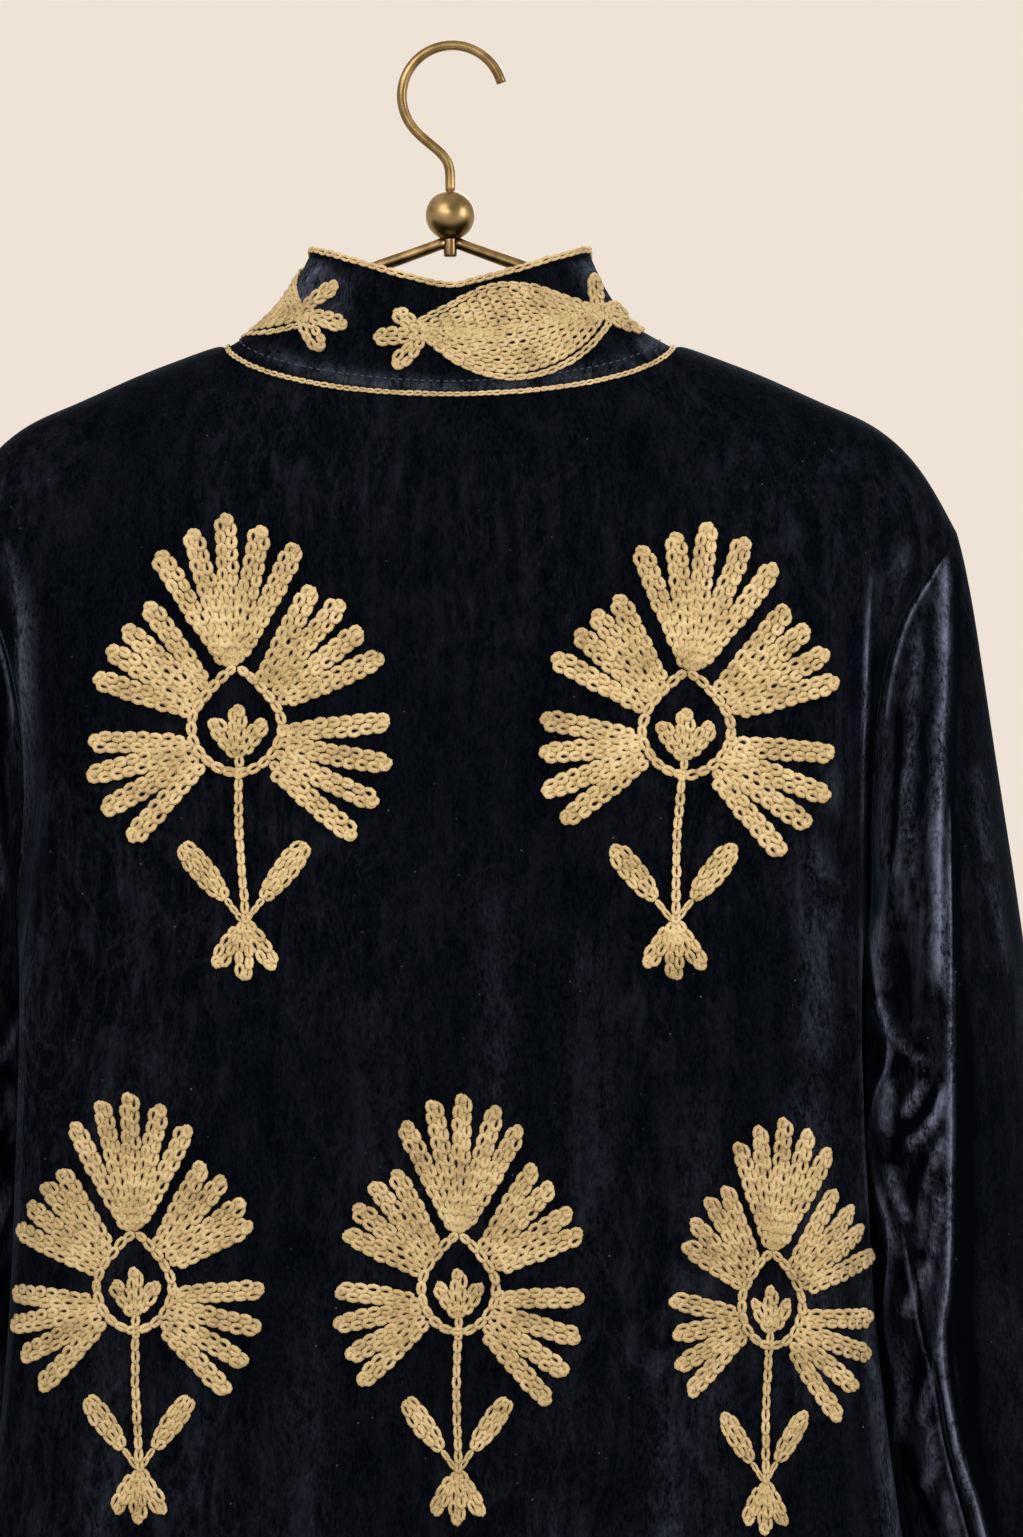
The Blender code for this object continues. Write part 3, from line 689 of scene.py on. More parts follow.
def armhole_loop(side):
    """The armhole from the shoulder tip down its back to the underarm and up its front, as the panels have it."""
    zs = heights(1.0, False)[: ARMHOLE_ROWS + 1]
    back = [body_point(side, z, False) for z in zs]
    front = [body_point(side, z, True) for z in reversed(zs[1:-1])]
    return back + front


def sleeve_ring(side, ring, count):
    """An oval from the ring's outer edge, round its back, to its inner edge and round its front."""
    outer_z, inner_z, half_depth, forward = ring
    shift = half_width(side, min(inner_z, -0.43)) - half_width(1, min(inner_z, -0.43))
    outer = Vector((smooth(SLEEVE_OUTER, 1, outer_z) + shift * rise(-outer_z, 0.223, 0.5), forward, outer_z))
    inner_x = half_width(side, inner_z) - recess(inner_z) + smooth(SLEEVE_GAP, 1, inner_z)
    inner = Vector((inner_x, forward, inner_z))
    middle, along = (outer + inner) / 2, (outer - inner) / 2
    power = 1 + SLEEVE_RIDGE * rise(-outer_z, 0.230, 0.330)
    points = []
    for k in range(count):
        angle = 2 * math.pi * k / count
        across = math.copysign(abs(math.cos(angle)) ** power, math.cos(angle))
        deep = math.copysign(abs(math.sin(angle)) ** power, math.sin(angle))
        point = middle + along * across - Vector((0, half_depth * deep, 0))
        points.append(Vector((side * point.x, point.y, point.z)))
    return points


def sleeve_rows(side):
    armhole = armhole_loop(side)
    first = sleeve_ring(side, SLEEVE_RINGS[0], len(armhole))
    rows = []
    for i, ring in enumerate(SLEEVE_RINGS):
        keep = 1 - rise(i, 0, 6)
        points = sleeve_ring(side, ring, len(armhole))
        rows.append([p + (a - b) * keep for p, a, b in zip(points, armhole, first)])
    rows[0] = [p + Vector((side * 0.0003, 0, 0)) for p in rows[0]]
    return rows


# Creases on the sleeves: path, width, height, and a painted highlight along it (painted shade where negative)
SLEEVE_CREASES = (
    # the long ridge from the sleeve's head, and the sharp edge that follows it down to the elbow
    (((226, -236), (226, -258), (225, -287), (222, -328), (220, -360), (220, -392), (222, -435)), 5, 2.4, 0.10),
    (((232, -240), (233, -290), (230, -340), (229, -400)), 5, -1.6, 0.0),
    (
        ((226, -417), (227, -470), (226, -516), (225, -566), (223, -585), (229, -632), (239, -665), (250, -720)),
        4, 2.4, 0.10,
    ),
    (((232, -420), (233, -516), (231, -580), (237, -640), (250, -700)), 6, -1.8, -0.04),
    # the side that is rubbed against the body
    (((200, -290), (198, -345), (196, -385), (196, -424)), 4, 1.2, 0.12),
    (((214, -262), (210, -300), (208, -340), (209, -380)), 3, 0.8, 0.20),
    (((204, -300), (203, -330), (201, -357), (198, -378), (194, -397)), 3, -1.8, -0.10),
    (((206, -330), (205, -357), (202, -382)), 2.5, 1.0, 0.22),
    (((215, -300), (214, -350), (213, -410)), 4, -1.2, -0.03),
    (((196, -398), (195, -415), (197, -432)), 3, 0.8, 0.30),
    (((222, -385), (224, -405), (225, -432)), 3.5, 0.6, 0.34),
    (((206, -400), (207, -425), (205, -445)), 7, -1.6, -0.04),
    (((240, -328), (243, -360), (248, -392), (254, -424)), 4, 0.8, 0.10),
    (((262, -420), (266, -480), (270, -540)), 6, 0.0, 0.04),
    # pinches towards the elbow
    (((194, -436), (200, -450), (208, -460), (216, -464)), 3, 2.2, 0.30),
    (((198, -468), (206, -462), (214, -456)), 4, -2.4, -0.10),
    (((215, -471), (211, -480), (206, -488)), 2.6, 2.0, 0.62),
    (((224, -474), (221, -485), (215, -495), (207, -503)), 2.4, 2.4, 0.85),
    (((219, -474), (214, -486), (207, -495)), 2.4, -2.2, -0.20),
    (((201, -472), (199, -484), (198, -497)), 3, 2.0, 0.42),
    (((206, -490), (203, -500), (202, -512)), 3, -2.4, -0.12),
    (((224, -497), (220, -507), (215, -522)), 2.4, 2.0, 0.50),
    (((214, -505), (210, -518), (209, -534)), 3, -2.2, -0.10),
    (((199, -511), (203, -524), (208, -537)), 2.6, 1.8, 0.42),
    (((196, -520), (199, -536), (204, -552)), 3, 1.4, 0.20),
    (((222, -520), (221, -536), (217, -554)), 3, 1.8, 0.34),
    (((212, -540), (214, -552), (219, -562)), 3, -2.0, -0.10),
    (((218, -554), (213, -566), (207, -580)), 3, 2.2, 0.55),
    (((213, -524), (215, -538), (212, -548)), 2.6, 1.2, 0.26),
    # the seam under the arm, which shows where the sleeve turns out again
    (
        ((205, -554), (210, -572), (214, -587), (219, -607), (225, -640), (233, -670), (248, -730), (258, -790)),
        2.6, -1.8, -0.20,
    ),
    (((223, -590), (219, -608), (215, -630)), 3, 2.0, 0.40),
    (((218, -592), (214, -606), (209, -622)), 3, -1.8, -0.10),
    (((224, -604), (229, -637), (238, -665)), 3, 1.8, 0.20),
    (((219, -629), (221, -649), (216, -662)), 3, 1.6, 0.40),
    (((205, -590), (207, -612), (206, -640)), 3.5, 1.4, 0.26),
    (((210, -640), (214, -660), (222, -680)), 3, -1.6, -0.08),
    (((226, -660), (231, -684), (240, -706)), 3, 1.6, 0.28),
    (((250, -560), (256, -600), (258, -640)), 10, 1.2, 0.02),
    (((246, -700), (254, -722), (262, -740)), 9, -1.6, 0.0),
    (((240, -690), (246, -712), (256, -726)), 4, 1.8, 0.24),
)
# Painted highlights along the sleeve's fold edges and seams, each with painted shade beside it.
SLEEVE_LINES = (
    # the sleeve's head along its seam
    (
        ((227, -226), (222.5, -240), (215, -252), (209, -263), (203.5, -280), (200.5, -295), (199, -312)),
        0.7, 1.2, 2.2, 40, 41, 0,
    ),
    # the long ridge from the head
    (
        ((227, -229), (226.5, -258), (225.5, -287), (223, -327), (221.5, -360), (221, -392), (221, -430)),
        0.75, 6.5, 2.5, 2.5, 8.0, 0,
    ),
    # the edge beside it, from above the elbow to the forearm
    (
        (
            (226.5, -345), (226, -417), (226, -470), (226, -516), (225, -566), (222.8, -586), (229, -632),
            (239, -665), (252, -720), (264, -790),
        ),
        1.0, 3.0, 1.1, 1.1, 6.0, 0,
    ),
    # the inner edge, which stands over the fold beside the body, painted dark there as shade
    (
        (
            (195, -290), (192, -325), (191.3, -350), (191.8, -407), (194, -430), (199, -460), (194, -480),
            (191.5, -497), (194, -520), (199.5, -541), (199, -585), (204, -615), (204, -650), (218, -720), (228, -780),
        ),
        0.75, 0.8, 3.6, -30, -0.8, 0,
    ),
    # the seam under the arm
    (
        ((206, -540), (210, -566), (214, -587), (219, -607), (225, -640), (233, -670), (248, -730), (258, -790)),
        0.6, 2.4, 0.8, 0.8, 4.0, 0,
    ),
)
# Beyond this ridge the nap lies smooth, and the painted sheen patches fade.
SLEEVE_RIDGE_LINE = (
    (228, -215), (226.5, -345), (226, -516), (225, -566), (229, -632), (239, -665), (252, -720), (266, -800),
    (270, -820),
)
# Crushed velvet: stronger painted sheen patches and crumple highlights than the plain velvet.
crushed_velvet = velvet_finish("crushed navy velvet", 1.0, SLEEVE_LINES, SLEEVE_RIDGE_LINE)
mirrored = tuple(
    (tuple((-x, z - 6) for x, z in path), width, height, glow) for path, width, height, glow in SLEEVE_CREASES
)
for name, side, creases in (("sleeve_left", -1, mirrored), ("sleeve_right", 1, SLEEVE_CREASES)):
    sleeve_cloth = weave(name + "_cloth", sleeve_rows(side), closed=True, turned=side > 0)
    sew_cloth(sleeve_cloth, name, creases, crushed_velvet, levels=3)


# Stand collar: one firm strip round the neck, turned up from the shoulders and dipping at the nape.
# Collar: the top edge dips at the back of the neck and stands highest at its two sides
COLLAR_TOP_HALF_WIDTH = 0.064
COLLAR_TOP_BACK_Z = -0.1115
COLLAR_TOP_SIDE_Z = -0.0915
COLLAR_TOP_FRONT_Z = -0.1660
COLLAR_TOP_BACK_Y = -0.037
COLLAR_TOP_FRONT_Y = 0.041
COLLAR_LEAN = 0.55  # how far the collar follows the shoulder before it stands up
COLLAR_ROWS = 4
SEAM_GAP = 0.0003  # between two pieces sewn together


def neckline(angle, front):
    """A point of the neckline; angle is 0 in the middle and a quarter turn at the shoulder."""
    x = NECK_HALF_WIDTH * math.sin(angle)
    return body_point(x / SHOULDER_TIP_X, neck_z(x, front), front)


def collar_base(angle, front):
    """The collar's seam point, a gap off the panel, with the directions up the collar and out of it."""
    step = 1e-3 if angle < 0 else -1e-3
    x = NECK_HALF_WIDTH * math.sin(angle)
    normal = body_normal(x / SHOULDER_TIP_X, neck_z(x, front) - 1e-5, front)
    along = neckline(angle + step, front) - neckline(angle, front)
    up = normal.cross(along).normalized()
    if up.z < 0:
        up = -up
    if abs(math.cos(angle)) < 1e-6:
        up = Vector((up.x, 0, up.z)).normalized()
        normal = Vector((normal.x, 0, normal.z)).normalized()
    return neckline(angle, front) + up * SEAM_GAP, up, normal


def collar_top(angle, front):
    across = math.sin(angle)
    x = COLLAR_TOP_HALF_WIDTH * across
    y = (COLLAR_TOP_FRONT_Y if front else COLLAR_TOP_BACK_Y) * abs(math.cos(angle)) ** 0.8
    if front:
        z = COLLAR_TOP_FRONT_Z + (COLLAR_TOP_SIDE_Z - COLLAR_TOP_FRONT_Z) * (1 - abs(math.cos(angle)) ** 1.3)
    else:
        z = COLLAR_TOP_BACK_Z + (COLLAR_TOP_SIDE_Z - COLLAR_TOP_BACK_Z) * abs(across) ** 1.15
    return Vector((x, y, z))


def collar_stations():
    """(angle round the neck, on the front) from the wearer's left front edge round the back to the right one."""
    first = math.asin(FRONT_EDGE_X / NECK_HALF_WIDTH)
    front = [(a, True) for a in np.linspace(first, math.pi / 2, NECK_COLUMNS + 1)[:-1]]
    back = [(a, False) for a in np.linspace(math.pi / 2, -math.pi / 2, 2 * NECK_COLUMNS + 1)]
    return [(-a, f) for a, f in front] + [(-a, f) for a, f in back] + [(a, f) for a, f in reversed(front)]


def collar_curve(angle, front, t):
    """A point t of the way up the collar: it follows the panel below it, then turns up to the top edge."""
    base, up, normal = collar_base(angle, front)
    top = collar_top(angle, front)
    turn = base + up * (top - base).length * COLLAR_LEAN
    return base * (1 - t) ** 2 + turn * (2 * t * (1 - t)) + top * t * t, normal


# Creases on the collar: path, width, height, and a painted highlight along it (painted shade where negative)
COLLAR_CREASES = (
    (((-60, -98), (-64, -110), (-70, -124)), 8, 1.4, 0.42),
    (((62, -98), (66, -108), (74, -126)), 7, 1.2, 0.34),
    (((-48, -104), (-50, -118), (-54, -130)), 7, -1.0, 0.10),
    (((86, -140), (93, -136), (101, -133)), 5, 0.8, 0.34),
    (((-90, -138), (-66, -149), (-36, -156), (10, -160), (60, -153), (88, -144)), 4, 0.6, 0.16),
)
collar_rows = []
for k in range(COLLAR_ROWS, -1, -1):
    collar_rows.append([collar_curve(angle, front, k / COLLAR_ROWS)[0] for angle, front in collar_stations()])
collar_cloth = weave("collar_cloth", collar_rows)
collar_surface = sew_cloth(collar_cloth, "collar", COLLAR_CREASES, plain_velvet)


# Gold thread: a soft slack-twisted cotton, worked in chain stitch. Every stitch is a real loop of
# thread, narrow where it comes up through the last one and round where the next one holds it.
def thread_finish(name, depth):
    """Gold cotton; depth scales its colours, 1 for the palest. Below 1 it is a darker copy of the same thread."""
    finish = Finish(name, Roughness=0.62, Specular_IOR_Level=0.3, Sheen_Weight=0.2, Sheen_Roughness=0.5)
    finish.shader.inputs["Sheen Tint"].default_value = (1.0, 0.92, 0.75, 1)
    place = finish.node("TexCoord", output=3)
    patches = finish.noise(place, 70, 3, 0.6)
    fibres = finish.noise(place, 1500, 2, 0.6)
    shade = (patches * 0.7 + fibres * 0.5 - 0.15).kept()
    stops = []
    for at, colour in ((0.20, (0.20, 0.136, 0.054)), (0.44, (0.465, 0.352, 0.172)), (0.75, (0.70, 0.575, 0.345))):
        stops.append((at, tuple(depth * value for value in colour)))
    finish.feed("Base Color", finish.node("ValToRGB", stops=stops, Fac=shade))
    finish.feed("Normal", finish.node("Bump", Strength=0.5, Distance=0.0004, Height=fibres))
    return finish.material


gold_thread = thread_finish("gold thread", 1.05)
# A darker copy of the same thread: painted shade on the lower flowers, and darker on the collar's almonds.
deep_gold_thread = thread_finish("deeper gold thread", 0.94)
STITCH_OVERLAP = 0.24  # how far a stitch runs on into the next one, as a share of the spacing


def stitch_rows(name, rows, pitch, seed, thread, full=0.46):
    """Chain stitch in one piece along rows of (points with their outward directions, width of the chain).

    full is the thread's thickness as a share of the chain's width.
    """
    outline = ((0, 0), (0.22, 0.34), (0.55, 0.50), (0.87, 0.38), (1, 0), (0.87, -0.38), (0.55, -0.50), (0.22, -0.34))
    heights_on = (0.30, 0.50, 0.82, 1.08, 1.18, 1.08, 0.82, 0.50)
    corners = [(math.cos(a), 0.72 * math.sin(a)) for a in (0.0, 1.257, 2.513, 3.770, 5.027)]
    dice = random.Random(seed)
    points, faces = [], []
    for row, width in rows:
        spots = np.array([tuple(p) for p, _ in row])
        ups = np.array([tuple(n) for _, n in row])
        run = np.concatenate([[0], np.cumsum(np.linalg.norm(np.diff(spots, axis=0), axis=1))])
        if run[-1] < pitch * 0.8:
            continue
        count = max(int(round(run[-1] / pitch)), 1)
        step = run[-1] / count
        ends = np.clip((np.arange(count) + 1 + STITCH_OVERLAP) * step, 0, run[-1])
        starts = np.clip((np.arange(count) - STITCH_OVERLAP) * step, 0, run[-1])
        first = np.stack([np.interp(starts, run, spots[:, k]) for k in range(3)], axis=1)
        last = np.stack([np.interp(ends, run, spots[:, k]) for k in range(3)], axis=1)
        middles = np.stack([np.interp((starts + ends) / 2, run, ups[:, k]) for k in range(3)], axis=1)
        for start, end, up in zip(first, last, middles):
            along = end - start
            length = np.linalg.norm(along) + 1e-9
            along /= length
            across = np.cross(up, along)
            across /= np.linalg.norm(across) + 1e-9
            up = np.cross(along, across)
            wide = width * dice.uniform(0.88, 1.08)
            thick = width * full * dice.uniform(0.88, 1.06)
            lean, lift = dice.uniform(-0.12, 0.12), dice.uniform(0.85, 1.15)
            loop = []
            for (s, t), high in zip(outline, heights_on):
                middle = start + along * (s * (length - thick) + thick / 2)
                loop.append(middle + across * ((t + lean * s) * (wide - thick)) + up * (high * lift * thick * 0.55))
            base = len(points)
            for i in range(8):
                ahead = loop[(i + 1) % 8] - loop[i - 1]
                ahead /= np.linalg.norm(ahead) + 1e-9
                out = np.cross(ahead, up)
                for a, b in corners:
                    points.append(loop[i] + (out * a + up * b) * thick / 2)
            for i in range(8):
                j = (i + 1) % 8
                for q in range(5):
                    r = (q + 1) % 5
                    faces.append((base + 5 * i + q, base + 5 * i + r, base + 5 * j + r, base + 5 * j + q))
    piece = add_piece(name, points, faces)
    whole = bmesh.new()
    whole.from_mesh(piece.data)
    bmesh.ops.recalc_face_normals(whole, faces=whole.faces)
    whole.to_mesh(piece.data)
    whole.free()
    piece.data.shade_smooth()
    piece.data.materials.append(thread)
    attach(piece, "root")


# Chain stitch on the flowers: the spacing of its stitches and the widths of its chains
FLOWER_PITCH = 0.0056
PETAL_CHAIN, SMALL_PETAL_CHAIN, FOOT_PETAL_CHAIN = 0.0062, 0.0054, 0.0053
RING_CHAIN, STEM_CHAIN, STALK_CHAIN, LEAF_CHAIN = 0.0054, 0.0047, 0.0036, 0.0050


# Flowers on the back: each is a fan flower of five sprays of petals round a pointed ring, with a
# small trefoil on the stem inside it, two leaves, and a foot of three petals.
def petal(focus, direction, start, reach, opening, wide=2.45, late=4.0):
    """One petal in flat millimetres from its spray's focus: up one side, round the tip, down the other side.

    Its sides part by the share opening of the distance from the focus, until it is wide enough.
    """
    ahead = np.array([math.sin(direction), math.cos(direction)])
    aside = np.array([ahead[1], -ahead[0]])
    turn_at = reach - wide - 2.4
    row = []
    for r in np.linspace(start, turn_at, max(int(turn_at - start), 3)):
        row.append(focus + ahead * r - aside * min(wide, opening * r))
    for angle in (0.2, 0.35, 0.5, 0.65, 0.8):
        tip, turn = min(wide, opening * turn_at), math.pi * angle
        row.append(focus + ahead * (turn_at + tip * math.sin(turn)) - aside * tip * math.cos(turn))
    for r in np.linspace(turn_at, start + late, max(int(turn_at - start - late), 3)):
        row.append(focus + ahead * r + aside * min(wide, opening * r))
    return row


def leaf(base, direction, stalk, length, width):
    """A leaf on a stalk: up the stalk, round the leaf, and once up its middle."""
    ahead = np.array([math.sin(direction), math.cos(direction)])
    aside = np.array([ahead[1], -ahead[0]])
    around = []
    for turn in np.linspace(0, 2 * math.pi, 30):
        s = stalk + length / 2 * (1 - math.cos(turn))
        around.append(base + ahead * s + aside * math.sin(turn) * width / 2 * (1 - 0.18 * math.cos(turn)))
    stem = [base + ahead * s for s in np.linspace(0, stalk + 1, 6)]
    middle = [base + ahead * s for s in np.linspace(stalk + 5, stalk + length - 4, 12)]
    return [(stem, STALK_CHAIN), (around, LEAF_CHAIN), (middle, LEAF_CHAIN)]


def flower_rows(dice, twist, lean):
    """Rows of one flower in flat millimetres, measured from the middle of its ring.

    twist is how far its fan is turned clockwise, in degrees, and lean how far its foot stands off to the side.
    """
    rows = []
    cos, sin = math.cos(math.radians(twist)), math.sin(math.radians(twist))
    sprays = (
        # focus x, focus y, first and last direction, petals, start, length, fall towards the sides
        (-2.0, 22.0, -31, 26, 5, 3.5, 75.5, 0.0036),
        (0.5, 0.5, 30, 64, 4, 20.0, 75.0, 0.001),
        (0.5, -1.5, -36.5, -70, 4, 21.0, 73.5, 0.001),
        (0.0, -6.0, 85, 130, 4, 18.0, 72.5, 0.0),
        (-7.0, -8.7, -89, -136, 4, 11.5, 63.5, 0.0),
    )
    for x, y, first, last, count, start, length, fall in sprays:
        gap = abs(last - first) / (count - 1)
        for k in range(count):
            heading = first + (last - first) * k / (count - 1)
            turn = abs(heading - (first + last) / 2)
            direction = math.radians(heading + dice.uniform(-1.2, 1.2))
            reach = length * (1 - fall * turn) + dice.uniform(-1.6, 1.6)
            begin = start + (2.0 if count == 5 and turn > 20 else 0)
            focus = np.array([x * cos + y * sin, y * cos - x * sin])
            shape = petal(focus, direction + math.radians(twist), begin, reach, math.radians(gap) / 4)
            rows.append((shape, PETAL_CHAIN))
    ring = []
    for turn in np.linspace(0, 2 * math.pi, 60):
        top = max(math.cos(turn), 0)
        across = 19.6 * math.sin(turn) * (1 - 0.30 * top**1.5) * (1 + 0.07 * math.sin(turn) ** 2)
        ring.append(np.array([across, 22.0 * math.cos(turn) + 4.0 * top**8]))
    rows.append((ring, RING_CHAIN))
    node = np.array([0.12 * lean, -16.0])
    for turn, length in ((0, 28), (-32, 25), (34, 25)):
        rows.append((petal(node, math.radians(turn), 1, length, 0.16, 2.3, 3), SMALL_PETAL_CHAIN))
    stem = [np.array([lean * (-y / 90) ** 0.8 + 0.9 * math.sin((y + 20) * 0.06), y]) for y in np.linspace(-13, -90, 60)]
    rows.append((stem, STEM_CHAIN))
    foot = np.array([lean, -89.0])
    for turn, stalk in ((-39, 13), (38, 13)):
        rows.extend((row, width) for row, width in leaf(foot, math.radians(turn), stalk, 33, 7.8))
    for turn, length in ((180, 31), (150, 30), (210, 29)):
        rows.append((petal(foot + (0, 2), math.radians(turn), 1, length, 0.17, 2.3, 4), FOOT_PETAL_CHAIN))
    return rows


def on_back(row):
    """Lays a flat row, in metres seen from behind, on the back panel."""
    laid = []
    for x, z in row:
        hit, normal, _, _ = back_surface.ray_cast(Vector((x, -0.3, z)), Vector((0, 1, 0)))
        if hit is not None:
            laid.append((hit, normal))
    return laid


FLOWERS = (
    # name, middle of the ring, share of the full width and height, twist, lean, seed
    ("flower_top_left", -95.5, -311, 1.0, 1.0, 0, 3.6, 11),
    ("flower_top_right", 107, -312.5, 0.985, 0.985, 10, -5.7, 12),
    ("flower_low_left", -141, -563, 0.83, 0.925, 2, 2.6, 13),
    ("flower_low_middle", 4.5, -563.5, 0.83, 0.925, 5, -0.6, 14),
    ("flower_low_right", 145, -571, 0.67, 0.90, 8, -5.0, 15),
)
for name, x, z, wide, tall, twist, lean, seed in FLOWERS:
    rows = []
    for row, width in flower_rows(random.Random(seed), twist, lean):
        laid = on_back([((x + p[0] * wide) / 1000, (z + p[1] * tall) / 1000) for p in row])
        if len(laid) > 2:
            rows.append((laid, width * (0.6 + 0.4 * wide)))
    # The lower flowers take the darker thread, as painted shade.
    stitch_rows(name, rows, FLOWER_PITCH, seed, gold_thread if "top" in name else deep_gold_thread)


# Collar embroidery: plump almonds filled with rows of chain stitch, each with a trefoil at both
# ends, repeated round the collar. A chain edges its top, and another covers the neck seam.
edge_angle = math.asin(FRONT_EDGE_X / NECK_HALF_WIDTH)
around = [(a, True) for a in np.linspace(-edge_angle, -math.pi / 2, 24)[:-1]]
around += [(a, False) for a in np.linspace(-math.pi / 2, math.pi / 2, 61)]
around += [(a, True) for a in np.linspace(math.pi / 2, edge_angle, 24)[1:]]
levels = np.linspace(0, 1, 9)
collar_net = np.array([[tuple(collar_curve(a, f, t)[0]) for t in levels] for a, f in around])
collar_run = np.concatenate([[0], np.cumsum(np.linalg.norm(np.diff(collar_net[:, 4], axis=0), axis=1))])
collar_run -= collar_run[len(around) // 2]
collar_tall = np.linalg.norm(np.diff(collar_net, axis=1), axis=2).sum(axis=1)


def on_collar(row, by_share=False):
    """Lays a flat row on the collar: metres round it from the middle of the back, and up from its middle line.

    by_share takes the second number as a share of the collar's height from its seam instead.
    """
    laid = []
    for s, up in row:
        tall = np.interp(s, collar_run, collar_tall)
        share = min(max(up if by_share else 0.5 + up / tall, 0.0), 1.0)
        column = [[np.interp(s, collar_run, collar_net[:, j, k]) for k in range(3)] for j in range(len(levels))]
        spot = Vector([np.interp(share, levels, [c[k] for c in column]) for k in range(3)])
        hit, normal, _, _ = collar_surface.find_nearest(spot)
        laid.append((hit + normal * 0.0003, normal))
    return laid


ALMOND_EDGE_CHAIN, ALMOND_FILL_CHAIN, ALMOND_MIDDLE_CHAIN = 0.0036, 0.0051, 0.0054
TREFOIL_CHAIN, TREFOIL_ROOT_CHAIN = 0.0052, 0.0046
COLLAR_PITCH = 0.0050


def almond(half_length, half_width, tilt=0.0):
    """A closed almond in flat millimetres: two bows that meet in points."""
    rows = []
    for turn in np.linspace(0, 2 * math.pi, 72):
        share = math.cos(turn)
        x, bow = half_length * share, math.copysign(half_width * (1 - abs(share) ** 1.9), math.sin(turn))
        rows.append(np.array([x * math.cos(tilt) - bow * math.sin(tilt), x * math.sin(tilt) + bow * math.cos(tilt)]))
    return rows


def collar_unit():
    """An almond with its rows of filling, its loose outline and its two trefoils."""
    rows = [(almond(46, 23.0, math.radians(-6.5)), ALMOND_EDGE_CHAIN)]
    for k in range(5):
        rows.append((almond(43.5 - 3.6 * k, 19.0 - 4.1 * k, math.radians(-1.5)), ALMOND_FILL_CHAIN))
    rows.append(([np.array([x, 0.0]) for x in np.linspace(-31, 31, 30)], ALMOND_MIDDLE_CHAIN))
    for end, directions in ((-1, ((-102, 26), (-146, 24), (-60, 22))), (1, ((94, 28), (30, 24), (130, 27)))):
        node = np.array([end * 41.0, 0.0])
        for turn, length in directions:
            rows.append((petal(node, math.radians(turn), 2, length, 0.20, 2.4, 1), TREFOIL_CHAIN))
        for k in (-1.7, 1.7):
            root = [node + np.array([-8.0 * end, k * 1.4]), node + np.array([3.0 * end, k])]
            rows.append((root, TREFOIL_ROOT_CHAIN))
    return rows


for name, middle, seed in (("collar_left", -114.0, 21), ("collar_middle", 30.0, 22), ("collar_right", 171.0, 23)):
    rows = []
    for row, width in collar_unit():
        dense = []
        for a, b in zip(row[:-1], row[1:]):
            dense.extend([a, (a + b) / 2])
        dense.append(row[-1])
        dense = [p for p in dense if collar_run[0] + 0.004 < (middle + p[0]) / 1000 < collar_run[-1] - 0.004]
        if len(dense) > 2:
            rows.append((on_collar([((middle + p[0]) / 1000, p[1] / 1000) for p in dense]), width))
    stitch_rows(name, rows, COLLAR_PITCH, seed, deep_gold_thread)

whole_way = np.linspace(collar_run[0] + 0.002, collar_run[-1] - 0.002, 260)
CHAINS = (
    # name, share of the collar's height, width of the chain, spacing of its stitches, seed
    ("collar_edge_chain", 0.985, 0.0036, 0.0046, 31),
    ("neck_seam_chain", 0.012, 0.0027, 0.0036, 32),
)
for name, share, width, pitch, seed in CHAINS:
    stitch_rows(name, [(on_collar([(s, share) for s in whole_way], True), width)], pitch, seed, gold_thread)


# Top stitching: a row of short stitches in slate-blue cotton through the collar, just above its seam.
TOP_STITCH_HEIGHT, TOP_STITCHES = 0.115, 150  # share of the collar's height, number of places along it
slate_thread = Finish("slate thread", Roughness=0.8, Base_Color=(0.022, 0.030, 0.055, 1)).material
run = np.linspace(collar_run[0] + 0.004, collar_run[-1] - 0.004, TOP_STITCHES)
spots = on_collar([(s, TOP_STITCH_HEIGHT) for s in run], True)
points, faces = [], []
for (here, up), (there, _) in zip(spots[:-1], spots[1:]):
    along = (there - here).normalized()
    across = up.cross(along).normalized()
    base = len(points)
    for reach, high in ((0.0, -0.0002), (0.0004, 0.0003), (0.0012, 0.0003), (0.0016, -0.0002)):
        for side in (-1, 1):
            points.append(here + along * reach + across * 0.00028 * side + up * high)
    for i in (0, 2, 4):
        faces.append((base + i, base + i + 1, base + i + 3, base + i + 2))
top_stitch = add_piece("collar_top_stitch", points, faces)
apply_modifier(top_stitch, "SOLIDIFY", thickness=0.0004, offset=0)
top_stitch.data.materials.append(slate_thread)
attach(top_stitch, "root")


# Hanger: aged brass wire and a turned ball. The hook is bent wire, set in the top of the ball,
# and the two arms and a short plug come out from under it.
def brass_finish():
    finish = Finish("aged brass", Metallic=1.0, Roughness=0.34)
    place = finish.node("TexCoord", output=3)
    tarnish = finish.noise(place, 110, 2, 0.4)
    brushed = finish.noise(place, 1400, 2, 0.5)
    ramp = finish.node("ValToRGB", stops=((0.35, (0.165, 0.108, 0.044)), (0.68, (0.345, 0.245, 0.118))), Fac=tarnish)
    finish.feed("Base Color", ramp)
    finish.feed("Roughness", tarnish * 0.18 + 0.25)
    finish.feed("Normal", finish.node("Bump", Strength=0.015, Distance=0.0002, Height=brushed))
    return finish.material


SHARP = math.radians(55)  # an edge that turns more than this stays sharp
STUB_RAISED = 0.0016  # so that the stub's top sits in the ball
ARM_ROOT_X, ARM_ROOT_DRAWN_IN = 0.0062, 0.62  # the arms' inner ends, drawn in under the ball
ARM_STRAIGHT_FROM, ARM_STRAIGHT_TO, ARM_STRAIGHT_DROP = 0.0044, 0.0450, 0.0020
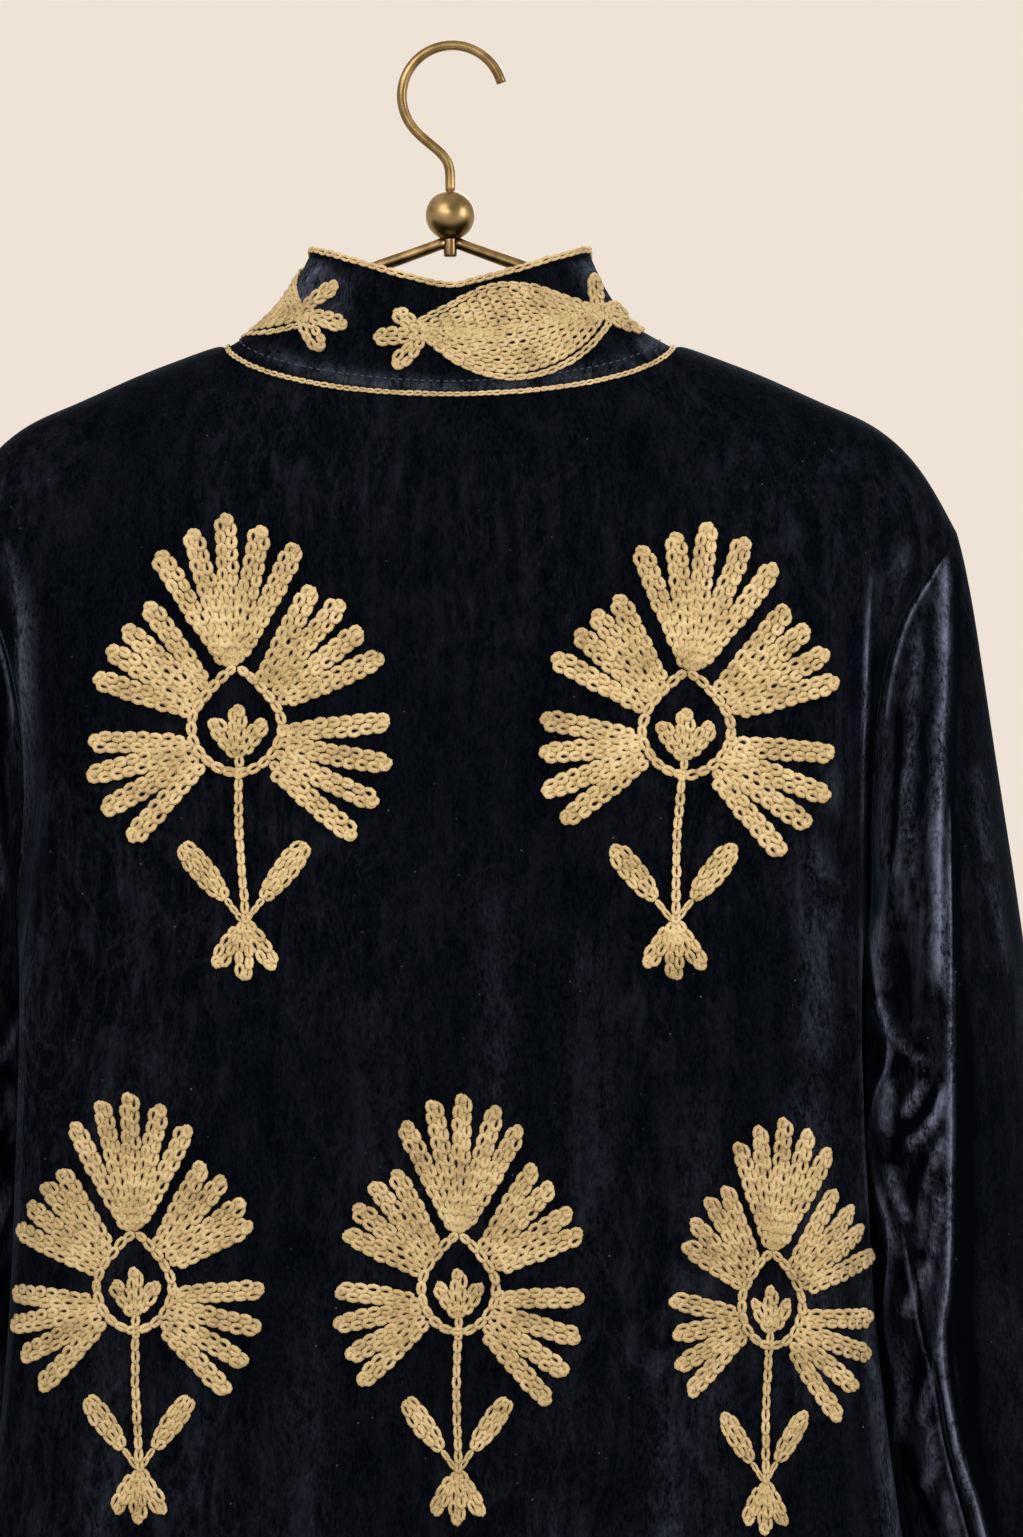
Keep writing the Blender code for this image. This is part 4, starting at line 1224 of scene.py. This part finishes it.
# How far each piece is let out to its own size, as smoothing shrinks a wire of few sides
LET_OUT = (
    ("hanger_hook", 0.0003),
    ("hanger_arm_left", 0.0005),
    ("hanger_arm_right", 0.0005),
    ("hanger_stub", 0.0002),
    ("hanger_ball", 0.0007),
)
aged_brass = brass_finish()
for node, let_out in LET_OUT:
    source = bmesh.new()
    source.from_mesh(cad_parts[node].data)
    bmesh.ops.remove_doubles(source, verts=source.verts, dist=2e-5)
    bmesh.ops.join_triangles(source, faces=source.faces, angle_face_threshold=0.4, angle_shape_threshold=1.4)
    firm = source.edges.layers.float.new("crease_edge")
    for edge in source.edges:
        if len(edge.link_faces) == 2 and edge.calc_face_angle() > SHARP:
            edge[firm] = 0.9
    top = max(vertex.co.z for vertex in source.verts)
    for vertex in source.verts:
        if node == "hanger_stub" and vertex.co.z > top - 0.0003:
            vertex.co.z += STUB_RAISED
        if "arm" in node and abs(vertex.co.x) < ARM_ROOT_X:
            vertex.co.x *= ARM_ROOT_DRAWN_IN
    source.normal_update()
    for vertex, normal in [(vertex, vertex.normal.copy()) for vertex in source.verts]:
        vertex.co += normal * let_out
        share = (abs(vertex.co.x) - ARM_STRAIGHT_FROM) / (ARM_STRAIGHT_TO - ARM_STRAIGHT_FROM)
        if "arm" in node and 0 < share < 1:
            vertex.co.z -= ARM_STRAIGHT_DROP * math.sin(math.pi * share)
    mesh = bpy.data.meshes.new(node + "_brass")
    source.to_mesh(mesh)
    source.free()
    piece = bpy.data.objects.new(node + "_brass", mesh)
    bpy.context.scene.collection.objects.link(piece)
    apply_modifier(piece, "SUBSURF", levels=2, render_levels=2)
    stand_for(piece, node, aged_brass)


# Studio: a pale floor well below the hem, a warm pale surround, a large soft light from the upper
# left, weaker ones from the right and from the far side, and two small ones near the camera, which
# draw the glints on the brass.
bpy.ops.object.select_all(action="DESELECT")
bpy.ops.mesh.primitive_plane_add(size=6, location=(0, 0, -1.35))
floor = bpy.context.object
floor.name = "floor"
floor_finish = Finish("pale floor", Roughness=0.9, Base_Color=(0.62, 0.575, 0.52, 1))
floor.data.materials.append(floor_finish.material)

bpy.context.scene.view_settings.view_transform = "Standard"
world = bpy.data.worlds.new("surround")
bpy.context.scene.world = world
world.use_nodes = True
world.node_tree.nodes["Background"].inputs["Color"].default_value = (0.86, 0.765, 0.675, 1)
world.node_tree.nodes["Background"].inputs["Strength"].default_value = 1.0

LIGHTS = (
    ("key", (-1.3, -2.0, 1.1), 1.4, 34),
    ("right", (1.8, -0.9, 0.3), 0.9, 20),
    ("front", (0.3, 2.4, 0.9), 1.6, 30),
    ("low left", (-0.75, -2.5, 0.55), 0.30, 7),
    ("low right", (-0.30, -2.6, 0.45), 0.22, 4),
)
for name, place, size, power in LIGHTS:
    data = bpy.data.lights.new(name, "AREA")
    data.size, data.energy = size, power
    data.color = (1.0, 0.97, 0.93)
    lamp = bpy.data.objects.new(name, data)
    bpy.context.scene.collection.objects.link(lamp)
    lamp.location = place
    lamp.rotation_euler = (Vector((0, 0, -0.4)) - Vector(place)).to_track_quat("-Z", "Y").to_euler()
